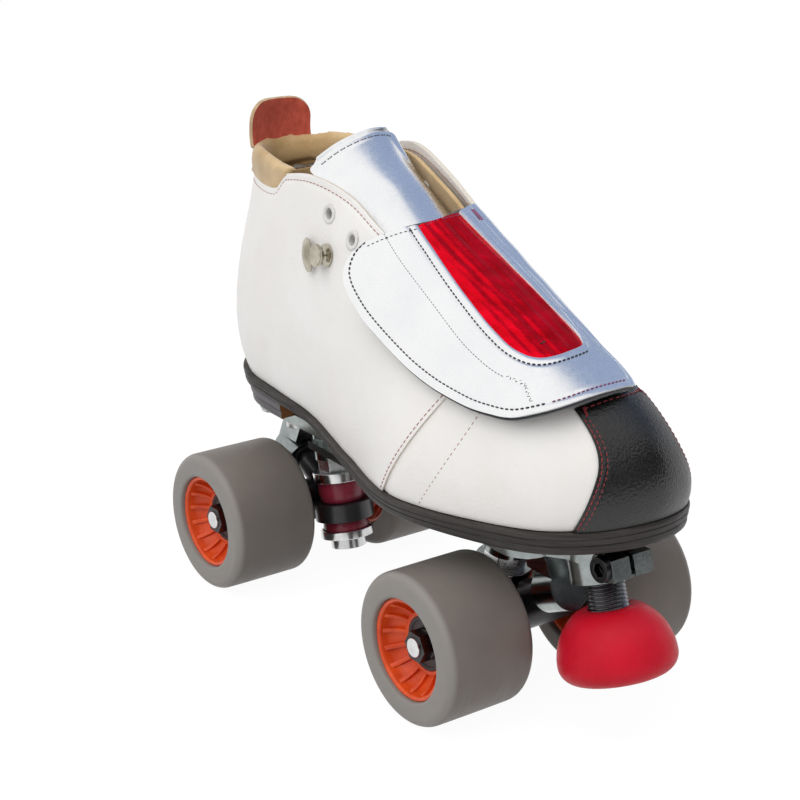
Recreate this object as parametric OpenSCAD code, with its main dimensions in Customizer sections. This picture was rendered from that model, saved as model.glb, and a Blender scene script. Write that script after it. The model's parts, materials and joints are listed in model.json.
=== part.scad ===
// Quad roller skate: leather ankle boot on an aluminium plate, two sprung
// steering trucks, four wheels and an adjustable toe stop.
// +X points to the toe, +Y to the wearer's left, +Z up; the wheels stand on Z = 0.

/* [Stance] */
// Where the middle between the axles lies along the object
stance_x = -14.1; // [-20:0.1:-8]
// Distance between the front and rear axles
wheelbase = 153; // [146:1:165]
// Outer face to outer face of a pair of wheels
track_w = 125; // [122:1:132]
// Height of the plate's top face above the axles
plate_rise = 45; // [44:0.5:50]

/* [Wheels] */
// Wheel diameter
wheel_d = 62; // [58:0.5:64]
// Wheel width
wheel_w = 41; // [38:0.5:42]
// Round on the tyre's edges
tyre_round = 6; // [3:0.5:8]
// Diameter of the moulded core
core_d = 41.5; // [39:0.5:44]
// Step from the tyre's side down to the core
core_inset = 1.9; // [1:0.1:3]
// Ribs in each dish of the core
core_ribs = 16; // [10:1:20]
// Thickness of a core rib
rib_t = 1.8; // [1.2:0.1:2.4]
// How far the core's dish lies below its ribs
dish = 2.2; // [1:0.1:3]

/* [Bearings] */
// Bearing bore, on the axle
bearing_d = 8; // [7:0.5:8]
// Bearing outside diameter
bearing_od = 22; // [22:0.5:24]
// Bearing width
bearing_w = 7; // [6:0.5:7]
// Balls in a bearing
ball_count = 7; // [6:1:7]
// Distance sleeve between the two bearings of a wheel
sleeve_l = 6; // [5:0.5:12]
// Width of an axle nut over its corners
axle_nut_d = 13; // [12:0.2:14]
// Height of an axle nut
axle_nut_h = 5; // [4:0.5:6]

/* [Trucks] */
// Lean of the kingpin from upright
kingpin_lean = 12.8; // [10:0.1:16]
// Rise of the steering axis towards the pivot
steer_rise = 25; // [22:0.5:28]
// From the axle back to the middle of the hanger's ring
ring_back = 20; // [19:0.5:22]
// Middle of the ring below the axle's height
ring_drop = 1.5; // [0:0.1:3]
// From the middle of the ring to the end of the pivot pin
pivot_reach = 44; // [43:0.5:46]
// Kingpin diameter
kingpin_d = 9.5; // [8:0.5:10]
// Thickness of the hanger's ring
ring_t = 8; // [7:0.5:9]
// Cushion diameter
cushion_d = 21; // [19:0.5:22]
// Height of the upper cushion
upper_cushion_h = 13; // [12:0.5:14]
// Height of the lower cushion
lower_cushion_h = 7; // [6:0.5:8]
// Diameter of the pivot pin's end
pivot_d = 9; // [8:0.5:10]

/* [Toe stop] */
// Toe stop axis at the plate, forward of the front axle
stop_ahead = 38.7; // [38:0.1:42]
// Forward lean of the toe stop
stop_lean = 18; // [14:1:22]
// Stem diameter
stem_d = 15.9; // [14:0.1:16]
// Diameter of the rubber
stop_d = 46.5; // [42:0.5:48]
// Height of the rubber
stop_h = 27; // [24:0.5:30]
// Diameter of the rubber at its top
stop_top_d = 24; // [22:0.5:28]
// Rounding of the rubber's lower edge
stop_round = 7; // [4:0.5:8]

/* [Boot] */
// Length of the sole
boot_l = 256; // [248:1:264]
// Greatest width of the sole
boot_w = 98; // [94:1:102]
// Height of the collar's highest point above the plate
boot_h = 122; // [118:1:126]
// Leather thickness of the outer pieces
leather_t = 2; // [1.6:0.1:2.2]
// Thickness of the lining
lining_t = 2; // [1.5:0.1:2.4]
// Thickness of the footbed
footbed_t = 4; // [3:0.5:5]
// Welt standing out beyond the upper
welt_out = 2.5; // [2:0.1:3.5]
// Eyelet hole diameter
eyelet_d = 4.4; // [4:0.1:5]
// Thickness of the tongue
tongue_t = 4.5; // [3.5:0.1:5]
// Width of the pull tab
tab_w = 33; // [28:1:36]
// Height of the pull tab above the collar
tab_h = 17; // [14:1:22]
// Thickness of the pull tab
tab_t = 3; // [2:0.1:4]
// Round on the pull tab's corners
tab_round = 9; // [6:0.5:12]

/* [Lace cover] */
// Leather and lining thickness of the lace cover
cover_t = 2.4; // [2:0.1:3]
// Length of the lace cover along its sewn edge
cover_l = 110; // [104:1:112]

/* [Fits] */
// Radial clearance of turning pins and bearings
run_gap = 0.04; // [0.02:0.01:0.08]
// Gap between two layers of leather
layer_gap = 0.3; // [0.25:0.05:0.5]
// Radial clearance of bolts in their holes
bolt_gap = 0.25; // [0.15:0.05:0.4]

/* [Hidden] */
$fn = 64;

axle_h = wheel_d / 2;
plate_top = axle_h + plate_rise;
wheel_y = (track_w - wheel_w) / 2;
front_x = stance_x + wheelbase / 2;
rear_x = stance_x - wheelbase / 2;

// Bearing faces, measured from the middle of the wheel
seat_in = sleeve_l / 2;
seat_out = seat_in + bearing_w;
ring_pitch = (bearing_d + bearing_od) / 4 + 0.1;
ball_r = 1.95;
race_in = ring_pitch - 1.5;
race_out = ring_pitch + 1.5;

// Heights along the kingpin, from the middle of the ring
up_cup = ring_t / 2 + upper_cushion_h;
low_cup = ring_t / 2 + lower_cushion_h;
cup_t = 1.5;
cup_rim = 3;
nut_h = 6;
// Radius of the rubber's dome
dome = (pow(stop_h - stop_round, 2) + pow((stop_d - stop_top_d) / 2, 2)) / (stop_d - stop_top_d);
boss_at = up_cup + cup_t + nut_h;
flange_t = 5;
head_h = 5;

// Plan of the last: for each column from the toe to the back, the welt point,
// two handles and the top edge as [along, half width, above the plate],
// then the sideways swing of the column and the height of the sole underneath
LAST = [
  [[138, 0, 14], [145.5, 0, 33.5], [130, 0, 53.5], [104, 0, 62], 8, 3],
  [[128, 25, 12], [135.5, 27, 31.5], [117, 20.5, 55.5], [100, 9, 64], 7, 1.5],
  [[104, 39, 10], [108, 44, 33], [98, 35, 63], [82, 14, 73], 3, 0],
  [[54, 48, 8], [54, 52, 32], [58, 41, 73], [52, 18, 87], -2, 0],
  [[8, 38, 8], [8, 42, 36], [20, 38, 78], [16, 25, 101], -2, 1],
  [[-34, 29, 11], [-36, 35, 40], [-16, 34, 82], [-10, 26, 112], -1, 6],
  [[-64, 29, 14], [-66, 34, 40], [-48, 31, 82], [-38, 28, 116], 0, 8],
  [[-92, 26, 15], [-98, 32, 38], [-82, 28, 80], [-70, 26, 110], 0, 8],
  [[-110, 15, 16], [-125, 21, 36], [-107, 18, 74], [-100, 17, 104], 0, 8],
  [[-116, 0, 16], [-135, 0, 36], [-114, 0, 74], [-112, 0, 100], 0, 8]];
// Extra height of the top edge on the inner side of the foot
LIFT = [0, 0, 0, 0, 0, 4, 6, 4, 1, 0];
BACK = len(LAST) - 1;
LOOP = 2 * BACK;
fit_x = boot_l / 256;
fit_y = boot_w / 98;
fit_z = boot_h / 122;

function wrap(i) = (i % LOOP + LOOP) % LOOP;
function row(i) = wrap(i) <= BACK ? wrap(i) : LOOP - wrap(i);
function hand(i) = wrap(i) <= BACK ? -1 : 1;
function lifted(i) = hand(i) > 0 ? LIFT[row(i)] : 0;
function knot(i, k) =
  let (r = LAST[row(i)], p = r[k], l = lifted(i), f = k == 3 ? 0.6 : 1)
  [fit_x * (p[0] - (k == 3 ? l : 0)),
   fit_y * (hand(i) * p[1] + f * r[4]),
   plate_top + fit_z * (p[2] + (k == 3 ? l : k == 2 ? l / 2 : 0))];
function blend4(a, b, c, d, f) =
  (2 * b + (c - a) * f + (2 * a - 5 * b + 4 * c - d) * f * f
   + (3 * b - a - 3 * c + d) * f * f * f) / 2;
function handle(u, k) =
  let (i = floor(u))
  blend4(knot(i - 1, k), knot(i, k), knot(i + 1, k), knot(i + 2, k), u - i);
function bezier(a, b, c, d, t) =
  let (m = 1 - t)
  m * m * m * a + 3 * m * m * t * b + 3 * m * t * t * c + t * t * t * d;
function skin(u, t) = bezier(handle(u, 0), handle(u, 1), handle(u, 2), handle(u, 3), t);
function unit(v) = v / norm(v);
function out(u, t) =
  let (e = 0.01, lo = max(t - e, 0), hi = min(t + e, 1))
  unit(cross(skin(u, hi) - skin(u, lo), skin(u + e, t) - skin(u - e, t)));
function lay(u, t, off) = skin(u, t) + off * out(u, t) + [stance_x, 0, 0];
function steps(a, b, n) = [for (i = [0:n]) a + (b - a) * i / n];

// Closed solid between two grids of points, the first one outside
module slab(over, under, loop = false) {
  n = len(over);
  m = len(over[0]);
  last = loop ? n - 1 : n - 2;
  function at(i, j, s) = s * n * m + (i % n) * m + j;
  points = [for (g = [over, under]) for (r = g) for (p = r) p];
  sheets = [for (i = [0:last]) for (j = [0:m - 2]) for (f = [
    [at(i, j, 0), at(i + 1, j + 1, 0), at(i, j + 1, 0)],
    [at(i, j, 0), at(i + 1, j, 0), at(i + 1, j + 1, 0)],
    [at(i, j, 1), at(i, j + 1, 1), at(i + 1, j + 1, 1)],
    [at(i, j, 1), at(i + 1, j + 1, 1), at(i + 1, j, 1)]]) f];
  rims = [for (i = [0:last]) for (f = [
    [at(i, 0, 0), at(i, 0, 1), at(i + 1, 0, 1)],
    [at(i, 0, 0), at(i + 1, 0, 1), at(i + 1, 0, 0)],
    [at(i, m - 1, 0), at(i + 1, m - 1, 1), at(i, m - 1, 1)],
    [at(i, m - 1, 0), at(i + 1, m - 1, 0), at(i + 1, m - 1, 1)]]) f];
  ends = loop ? [] : [for (j = [0:m - 2]) for (f = [
    [at(0, j, 0), at(0, j + 1, 0), at(0, j + 1, 1)],
    [at(0, j, 0), at(0, j + 1, 1), at(0, j, 1)],
    [at(n - 1, j, 0), at(n - 1, j + 1, 1), at(n - 1, j + 1, 0)],
    [at(n - 1, j, 0), at(n - 1, j, 1), at(n - 1, j + 1, 1)]]) f];
  polyhedron(points, concat(sheets, rims, ends));
}

// Closed solid through stacked rings that all start at the toe, lowest first
module stack_rings(rings) {
  m = len(rings[0]);
  k = len(rings);
  half = m / 2;
  points = [for (r = rings) for (p = r) p];
  function at(i, j) = i * m + j % m;
  sides = [for (i = [0:k - 2]) for (j = [0:m - 1]) for (f = [
    [at(i, j), at(i + 1, j), at(i + 1, j + 1)],
    [at(i, j), at(i + 1, j + 1), at(i, j + 1)]]) f];
  function lid(i, up) = [for (j = [0:half - 1]) for (f = [
    [at(i, j), at(i, j + 1), at(i, m - j - 1)],
    [at(i, j), at(i, m - j - 1), at(i, m - j)]])
    if (f[0] != f[1] && f[1] != f[2] && f[0] != f[2]) up ? f : [f[0], f[2], f[1]]];
  polyhedron(points, concat(sides, lid(0, true), lid(k - 1, false)));
}

// Turns +Z onto a direction in the upright middle plane
module lean(deg) rotate([0, deg, 0]) children();

// Stands children at a point with +Z along a direction
module aim(p, d) translate(p) rotate([0, acos(d[2] / norm(d)), atan2(d[1], d[0])]) children();

// Places a truck's own frame, X outboard from the axle, at the front or rear
module front() translate([front_x, 0, 0]) children();
module rear() translate([rear_x, 0, 0]) mirror([1, 0, 0]) children();
// Middle of the hanger's ring, with Z up along the kingpin or out along the steering axis
module on_kingpin() translate([-ring_back, 0, axle_h - ring_drop]) lean(kingpin_lean) children();
module on_pivot() translate([-ring_back, 0, axle_h - ring_drop]) lean(90 - steer_rise) children();
// Toe stop's own frame, Z up along the stem, at the plate's top
module on_stop() translate([front_x + stop_ahead, 0, plate_top]) lean(-stop_lean) children();
module tube(ro, ri, h) difference() {
  cylinder(r = ro, h = h);
  translate([0, 0, -1]) cylinder(r = ri, h = h + 2);
}

// Bolt positions, in the plate's own frame
BOLTS = [[48, 20], [48, -20], [98, 22], [98, -20], [-72, 15], [-72, -15], [-97, 13], [-97, -13]];
bolt_r = 2.5;
function seat_z(b) = plate_top + (b[0] > 0 ? 5 : 12) * fit_z;
module at_bolts() for (b = BOLTS) translate([stance_x + b[0], b[1], 0]) children();
module bolt_holes() at_bolts() cylinder(r = bolt_r + bolt_gap, h = plate_top + boot_h);

// Wheel parts stand with their axis along Z and their outer face up
module wheel_right() translate([0, -wheel_y, axle_h]) rotate([90, 0, 0]) children();
module wheel_left() translate([0, wheel_y, axle_h]) rotate([-90, 0, 0]) children();

module tyre() {
  h = wheel_w / 2;
  r = wheel_d / 2;
  rotate_extrude() difference() {
    union() {
      translate([core_d / 2, -h]) square([r - core_d / 2 - tyre_round, wheel_w]);
      translate([core_d / 2, -h + tyre_round]) square([r - core_d / 2, wheel_w - 2 * tyre_round]);
      for (s = [-1, 1]) translate([r - tyre_round, s * (h - tyre_round)]) circle(tyre_round);
    }
    translate([0, -h - 1]) square([core_d / 2, wheel_w + 2]);
  }
}

module core() {
  r = core_d / 2;
  h = wheel_w / 2 - core_inset;
  wall = 2;
  boss = bearing_od / 2 + 2;
  difference() {
    union() {
      rotate_extrude() difference() {
        union() {
          translate([r - wall, -h]) square([wall, 2 * h]);
          translate([race_out - 1, -seat_out]) square([boss - race_out + 1, 2 * seat_out]);
          polygon([
            [race_out - 1, seat_out - dish], [boss, seat_out - dish], [r - 1, h - 2 - dish],
            [r - 1, dish + 2 - h], [boss, dish - seat_out], [race_out - 1, dish - seat_out]]);
        }
      }
      for (k = [0:core_ribs - 1]) rotate([90, 0, 360 * k / core_ribs])
        translate([0, 0, -rib_t / 2]) linear_extrude(rib_t) polygon([
          [boss - 1, seat_out], [r - 1, h - 2], [r - 1, -h + 2], [boss - 1, -seat_out]]);
    }
    for (s = [-1, 1]) translate([0, 0, s > 0 ? seat_in : -seat_out - 20])
      cylinder(r = bearing_od / 2, h = bearing_w + 20);
    cylinder(r = race_out - 1, h = 60, center = true);
  }
}

module outer_ring() {
  difference() {
    union() {
      tube(bearing_od / 2, race_out, bearing_w);
      for (z = [0.4, bearing_w - 0.9]) translate([0, 0, z]) tube(race_out + 0.6, race_in + 0.35, 0.5);
    }
    translate([0, 0, bearing_w / 2]) rotate_extrude() translate([ring_pitch, 0]) circle(ball_r + run_gap);
  }
}

module inner_ring() {
  difference() {
    tube(race_in, bearing_d / 2, bearing_w);
    translate([0, 0, bearing_w / 2]) rotate_extrude() translate([ring_pitch, 0]) circle(ball_r + run_gap);
  }
}

module balls() for (k = [0:ball_count - 1]) rotate([0, 0, 360 * k / ball_count])
  translate([ring_pitch, 0, bearing_w / 2]) sphere(r = ball_r);

module both_seats() for (z = [seat_in, -seat_out]) translate([0, 0, z]) children();

module hanger() {
  y_out = wheel_y - seat_out;
  difference() {
    union() {
      translate([0, 0, axle_h]) rotate([90, 0, 0]) {
        cylinder(r = 7.5, h = 36, center = true);
        for (s = [0, 180]) rotate([s, 0, 0]) translate([0, 0, 17])
          cylinder(r1 = 7.5, r2 = 5.6, h = y_out - 17);
      }
      on_kingpin() translate([0, 0, -ring_t / 2]) cylinder(r = 13.5, h = ring_t);
      on_kingpin() translate([8, -10, -ring_t / 2]) cube([ring_back - 8, 20, ring_t]);
      on_pivot() {
        translate([0, 0, 21]) cylinder(r = 5.6, h = pivot_reach - 33);
        translate([0, 0, 30]) cylinder(r = pivot_d / 2, h = pivot_reach - 30 - pivot_d / 2);
        translate([0, 0, pivot_reach - pivot_d / 2]) sphere(r = pivot_d / 2);
      }
    }
    on_kingpin() cylinder(r = kingpin_d / 2 + 2.6, h = 3 * ring_t, center = true);
    translate([0, 0, axle_h]) rotate([90, 0, 0]) cylinder(r = bearing_d / 2, h = track_w, center = true);
  }
}

module axle() translate([0, 0, axle_h]) rotate([90, 0, 0])
  cylinder(r = bearing_d / 2 - run_gap / 2, h = 2 * (wheel_y + seat_out + axle_nut_h + 1), center = true);

module axle_nuts() for (s = [0, 180]) translate([0, 0, axle_h]) rotate([90 + s, 0, 0])
  translate([0, 0, wheel_y + seat_out]) difference() {
    union() {
      cylinder(r = 5.7, h = 1);
      cylinder(r = axle_nut_d / 2, h = axle_nut_h, $fn = 6);
    }
    translate([0, 0, -1]) cylinder(r = bearing_d / 2, h = axle_nut_h + 3);
  }

module sleeves() for (s = [-1, 1]) translate([0, s * wheel_y, axle_h]) rotate([90, 0, 0])
  translate([0, 0, -seat_in]) tube(5.8, bearing_d / 2, sleeve_l);

module inner_rings() for (w = [0, 1]) if (w == 0) wheel_right() both_seats() inner_ring();
  else wheel_left() both_seats() inner_ring();

// A cushion is a barrel: widest in its middle, bored for the kingpin
module cushion(h) rotate_extrude() difference() {
  intersection() {
    translate([0, 0]) square([cushion_d, h]);
    translate([cushion_d / 2 - 1.5 * h, h / 2]) circle(1.5 * h);
  }
  square([kingpin_d + 0.6, 3 * h], center = true);
}
module upper_cushion() on_kingpin() translate([0, 0, ring_t / 2]) cushion(upper_cushion_h);
module lower_cushion() on_kingpin() translate([0, 0, -low_cup]) cushion(lower_cushion_h);

// Pressed steel cup with a rolled rim that holds the end of a cushion
module cup(rim) rotate_extrude() difference() {
  square([cushion_d / 2 + 1.6, cup_t + rim]);
  square([kingpin_d + 2 * bolt_gap, 3 * cup_t], center = true);
  translate([0, cup_t]) square([cushion_d / 2 + 0.4, rim + 1]);
}
module retainers() on_kingpin() {
  translate([0, 0, up_cup + cup_t]) mirror([0, 0, 1]) cup(cup_rim);
  translate([0, 0, -low_cup - cup_t]) cup(cup_rim - 0.8);
}
module kingpin() on_kingpin() difference() {
  union() {
    translate([0, 0, -low_cup - cup_t]) cylinder(r = kingpin_d / 2, h = low_cup + cup_t + boss_at + 14);
    translate([0, 0, -low_cup - cup_t - head_h]) cylinder(r = 8, h = head_h);
  }
  translate([0, 0, -low_cup - cup_t - head_h - 1]) cylinder(r = 4.6, h = 4.5, $fn = 6);
}
module kingpin_nut() on_kingpin() translate([0, 0, up_cup + cup_t]) difference() {
  cylinder(r = 9, h = nut_h, $fn = 6);
  translate([0, 0, -1]) cylinder(r = kingpin_d / 2, h = nut_h + 2);
}
module pivot_cup() on_pivot() translate([0, 0, pivot_reach - 9]) difference() {
  cylinder(r = pivot_d / 2 + 2.4, h = 12);
  translate([0, 0, -1]) cylinder(r = pivot_d / 2 + run_gap, h = 10 - pivot_d / 2);
  translate([0, 0, 9 - pivot_d / 2]) sphere(r = pivot_d / 2 + run_gap);
}

module rounded(x0, x1, w, r) {
  translate([x0, -w + r]) square([x1 - x0, 2 * (w - r)]);
  translate([x0 + r, -w]) square([x1 - x0 - 2 * r, 2 * w]);
  for (x = [x0 + r, x1 - r]) for (y = [-w + r, w - r]) translate([x, y]) circle(r);
}

// Kingpin boss and pivot housing under one end of the plate
module truck_seat() {
  on_kingpin() translate([0, 0, boss_at]) cylinder(r = 10, h = 18);
  on_pivot() translate([0, 0, pivot_reach - 8]) cylinder(r = pivot_d / 2 + 4.7, h = 13);
  intersection() {
    translate([2, -8, axle_h + 24]) cube([40, 16, plate_rise - 24 - flange_t / 2]);
    on_pivot() translate([-30, -20, pivot_reach - 8]) cube([60, 40, 13]);
  }
}
module truck_bores() {
  on_kingpin() translate([0, 0, boss_at - 1]) cylinder(r = kingpin_d / 2, h = 16);
  on_pivot() translate([0, 0, pivot_reach - 9]) cylinder(r = pivot_d / 2 + 2.4, h = 12);
}

module plate() color([0.78, 0.79, 0.78]) difference() {
  union() {
    translate([stance_x, 0, plate_top - flange_t]) linear_extrude(flange_t) {
      rounded(-103.5, -38, 19.5, 10);
      rounded(38, 108, 31, 12);
      polygon([[90, -31], [stop_ahead + wheelbase / 2, -14], [stop_ahead + wheelbase / 2, 14], [90, 31]]);
      translate([stop_ahead + wheelbase / 2, 0]) circle(14);
      translate([-60, -13]) square([120, 26]);
    }
    translate([stance_x - 66, -9, plate_top - 17]) cube([132, 18, 14]);
    translate([stance_x - 66, -13, plate_top - 17]) cube([132, 26, 3.5]);
    front() truck_seat();
    rear() truck_seat();
    on_stop() {
      translate([0, 0, -15]) cylinder(r = stem_d / 2 + 5, h = 13);
      translate([4, -10, -14]) cube([14, 20, 10.5]);
    }
  }
  front() truck_bores();
  rear() truck_bores();
  on_stop() {
    translate([0, 0, -40]) cylinder(r = stem_d / 2 + run_gap, h = 60);
    translate([0, -1, -40]) cube([40, 2, 60]);
    translate([12.6, 0, -8.8]) rotate([90, 0, 0]) cylinder(r = 3 + bolt_gap, h = 40, center = true);
    translate([12.6, -7, -8.8]) rotate([90, 0, 0]) cylinder(r = 5.2, h = 20);
  }
  at_bolts() translate([0, 0, plate_top - 10]) cylinder(r = bolt_r + bolt_gap, h = 20);
  translate([front_x, -20, plate_top]) cube([80, 40, 20]);
  for (x = [-26, 0, 26]) translate([stance_x + x, 0, plate_top - 8.5]) rotate([90, 0, 0])
    cylinder(r = 4.5, h = 40, center = true);
}

module plate_bolts() color([0.62, 0.62, 0.63]) for (b = BOLTS) translate([stance_x + b[0], b[1], 0]) {
  translate([0, 0, plate_top - flange_t - 2]) cylinder(r = bolt_r, h = seat_z(b) - plate_top + flange_t + 3.4);
  translate([0, 0, plate_top - flange_t - 2.6]) difference() {
    cylinder(r = 4.6, h = 2.6);
    translate([0, 0, -1]) cylinder(r = 2, h = 2.6, $fn = 6);
  }
}
module plate_nuts() color([0.7, 0.66, 0.55]) for (b = BOLTS)
  translate([stance_x + b[0], b[1], seat_z(b)]) tube(6.5, bolt_r, 1.5);

module clamp_bolt() color([0.25, 0.25, 0.27]) on_stop() translate([12.6, 0, -8.8]) rotate([90, 0, 0])
  difference() {
    union() {
      translate([0, 0, -11]) cylinder(r = 3, h = 19);
      translate([0, 0, 7]) cylinder(r = 5, h = 5);
    }
    translate([0, 0, 9]) cylinder(r = 2.9, h = 5, $fn = 6);
  }

module toe_stop_stem() color([0.75, 0.75, 0.74]) on_stop() {
  translate([0, 0, -32]) cylinder(r = stem_d / 2, h = 27);
  translate([0, 0, -34]) cylinder(r = 14, h = 2);
}
module toe_stop_rubber() color([0.78, 0.08, 0.12]) on_stop() translate([0, 0, -26.5 - stop_h])
  rotate_extrude() difference() {
    union() {
      square([stop_d / 2 - stop_round, stop_round]);
      translate([stop_d / 2 - stop_round, stop_round]) circle(stop_round);
      intersection() {
        translate([stop_d / 2 - dome, stop_round]) circle(dome);
        translate([0, stop_round]) square([stop_d, stop_h - stop_round]);
      }
    }
    translate([-stop_d, -1]) square([stop_d, stop_h + 2]);
    translate([0, stop_h - 8]) square([stem_d / 2 + 0.05, 9]);
    translate([0, stop_h - 7.5]) square([14.05, 2.05]);
  }

// Sole: rings round the welt line, seen from the toe round the outer side
SOLE_U = steps(0, LOOP, 36);
function welt(u, grow) =
  let (p = handle(u, 0), a = handle(u + 0.05, 0), b = handle(u - 0.05, 0), d = unit([a[1] - b[1], b[0] - a[0]]))
  [p[0] - grow * d[0] + stance_x, p[1] - grow * d[1], p[2]];
function underside(u) =
  let (i = floor(u))
  plate_top + blend4(LAST[row(i - 1)][5], LAST[row(i)][5], LAST[row(i + 1)][5], LAST[row(i + 2)][5], u - i);
function level(p, z) = [p[0], p[1], z];
function ring(grow, up) = [for (i = [0:35]) let (p = welt(SOLE_U[i], grow)) level(p, p[2] + up)];
function low_ring(grow) = [for (i = [0:35])
  let (p = welt(SOLE_U[i], grow)) level(p, max(underside(SOLE_U[i]), plate_top))];

module outsole() color([0.2, 0.18, 0.17]) difference() {
  stack_rings([low_ring(welt_out - 1), ring(welt_out, -4), ring(welt_out, 0)]);
  bolt_holes();
  for (b = BOLTS) translate([stance_x + b[0], b[1], seat_z(b) - 0.2]) cylinder(r = 6.8, h = 30);
}

// Heel lifts, cut off square at the breast
heel_front = -64;
module heel_stack() color([0.3, 0.27, 0.28]) difference() {
  intersection() {
    union() for (k = [0:1]) translate([0, 0, plate_top + 4 * k]) linear_extrude(4)
      polygon([for (i = [0:35]) let (p = welt(SOLE_U[i], -1.5 + 1.2 * k)) [p[0], p[1]]]);
    translate([stance_x - 150, -60, plate_top]) cube([150 + heel_front, 120, 8]);
  }
  bolt_holes();
}

module insole() color([0.75, 0.6, 0.42]) difference() {
  stack_rings([ring(-6, layer_gap), ring(-6, footbed_t)]);
  bolt_holes();
}

// Upper: the vamp and two quarters meet at slanting seams
ROWS = [0.01, 0.14, 0.28, 0.44, 0.6, 0.76, 0.9, 1];
function seam(t) = 3 - t;
function cap_u(t) = 1.2 - 1.25 * t + 1.35 * t * t;
function sheet(u0, u1, n, off) = [for (f = steps(0, 1, n)) [for (t = ROWS)
  lay(u0[0] + u0[1] * seam(t) + (u1[0] + u1[1] * seam(t) - u0[0] - u0[1] * seam(t)) * f, t, off)]];
seam_gap = 0.008;
function piece(u0, u1, n) = [sheet(u0, u1, n, 0), sheet(u0, u1, n, -leather_t)];
module cut_piece(g) color([0.92, 0.91, 0.89]) difference() {
  slab(g[0], g[1]);
  eye_holes();
}
module vamp() color([0.92, 0.91, 0.89]) {
  g = piece([seam_gap, -1], [-seam_gap, 1], 14);
  slab(g[0], g[1]);
}
module lateral_quarter() cut_piece(piece([0, 1], [BACK, 0], 16));
module medial_quarter() cut_piece(piece([BACK, 0], [LOOP, -1], 16));

CAP_ROWS = [0.06, 0.14, 0.28, 0.44, 0.6, 0.76];
function cap_sheet(off) = [for (f = steps(-1, 1, 10)) [for (t = CAP_ROWS) lay(f * cap_u(t), t, off)]];
module toe_cap() color([0.08, 0.08, 0.08]) slab(cap_sheet(layer_gap + 1.3), cap_sheet(layer_gap));

LINE_ROWS = [0.07, 0.14, 0.28, 0.44, 0.6, 0.76, 0.9, 1];
function line_sheet(off) = [for (i = [0:35]) [for (t = LINE_ROWS) lay(SOLE_U[i], t, off)]];
line_off = leather_t + 2 * layer_gap;
module lining() color([0.78, 0.64, 0.43]) difference() {
  slab(line_sheet(-line_off), line_sheet(-line_off - lining_t), true);
  eye_holes();
}

// Padded roll on the back of the collar
pad_h = 14;
function pad_ring(u) =
  let (e = lay(u, 1, -2.2), n = out(u, 1), s = sin(180 * (u - 6.6) / (LOOP - 13.2)), h = 3 + (pad_h - 3) * min(1, 1.4 * s))
  [for (k = [0:9]) let (a = 36 * k)
    e + (3.2 * cos(a)) * [n[0], n[1], 0] / norm([n[0], n[1]]) + [0, 0, layer_gap + (h / 2) * (1 + sin(a))]];
module collar_pad() color([0.8, 0.66, 0.45]) {
  rings = [for (u = steps(6.6, LOOP - 6.6, 16)) pad_ring(u)];
  n = len(rings);
  sides = [for (i = [0:n - 2]) for (k = [0:9]) for (f = [
    [i * 10 + k, (i + 1) * 10 + (k + 1) % 10, i * 10 + (k + 1) % 10],
    [i * 10 + k, (i + 1) * 10 + k, (i + 1) * 10 + (k + 1) % 10]]) f];
  lids = concat([for (k = [1:8]) [0, k, k + 1]],
    [for (k = [1:8]) [(n - 1) * 10, (n - 1) * 10 + k + 1, (n - 1) * 10 + k]]);
  polyhedron([for (r = rings) for (p = r) p], concat(sides, lids));
}

// Pull tab: a doubled leather strip with a rounded end, sewn to the top of the pad
module pull_tab() color([0.5, 0.2, 0.16])
  translate([stance_x - 107 * fit_x, 0, plate_top + 104 * fit_z + pad_h]) rotate([90, 0, 90]) linear_extrude(tab_t) {
    translate([-tab_w / 2, 0]) square([tab_w, tab_h - tab_round]);
    translate([-tab_w / 2 + tab_round, 0]) square([tab_w - 2 * tab_round, tab_h]);
    for (s = [-1, 1]) translate([s * (tab_w / 2 - tab_round), tab_h - tab_round]) circle(tab_round);
  }

// Tongue: rows of four points across, from the vamp up to its free end
TONGUE = [
  [[112, -8, 48.3], [113.5, -3, 53.8], [113.5, 9, 53.8], [112, 14, 48.3]],
  [[50, -17, 74], [53, -8, 84], [53, 10, 84], [50, 17, 75]],
  [[8, -21, 91], [14, -10, 104], [14, 9, 104], [6, 20, 92]],
  [[-20, -21, 104], [-12, -10, 119], [-12, 9, 121], [-22, 20, 107]],
  [[-53, -19, 115], [-44, -9, 128], [-42, 9, 132], [-44, 17, 128]]];
function tongue_knot(i, k) =
  let (p = TONGUE[min(max(i, 0), 4)][k]) [fit_x * p[0] + stance_x, fit_y * p[1], plate_top + fit_z * p[2]];
function tongue_pt(s, t) =
  let (i = min(floor(s), 3), f = s - i,
    q = [for (k = [0:3]) blend4(tongue_knot(i - 1, k), tongue_knot(i, k), tongue_knot(i + 1, k), tongue_knot(i + 2, k), f)])
  bezier(q[0], q[1], q[2], q[3], t);
function tongue_out(s, t) =
  let (e = 0.02, a = max(s - e, 0), b = min(s + e, 4), c = max(t - e, 0), d = min(t + e, 1))
  unit(cross(tongue_pt(s, d) - tongue_pt(s, c), tongue_pt(b, t) - tongue_pt(a, t)));
function tongue_grid(off) = [for (s = steps(0, 4, 14)) [for (t = steps(0, 1, 8))
  tongue_pt(s, t) - off * tongue_out(s, t)]];
module tongue() color([0.86, 0.88, 0.9]) slab(tongue_grid(0), tongue_grid(tongue_t));

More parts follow.
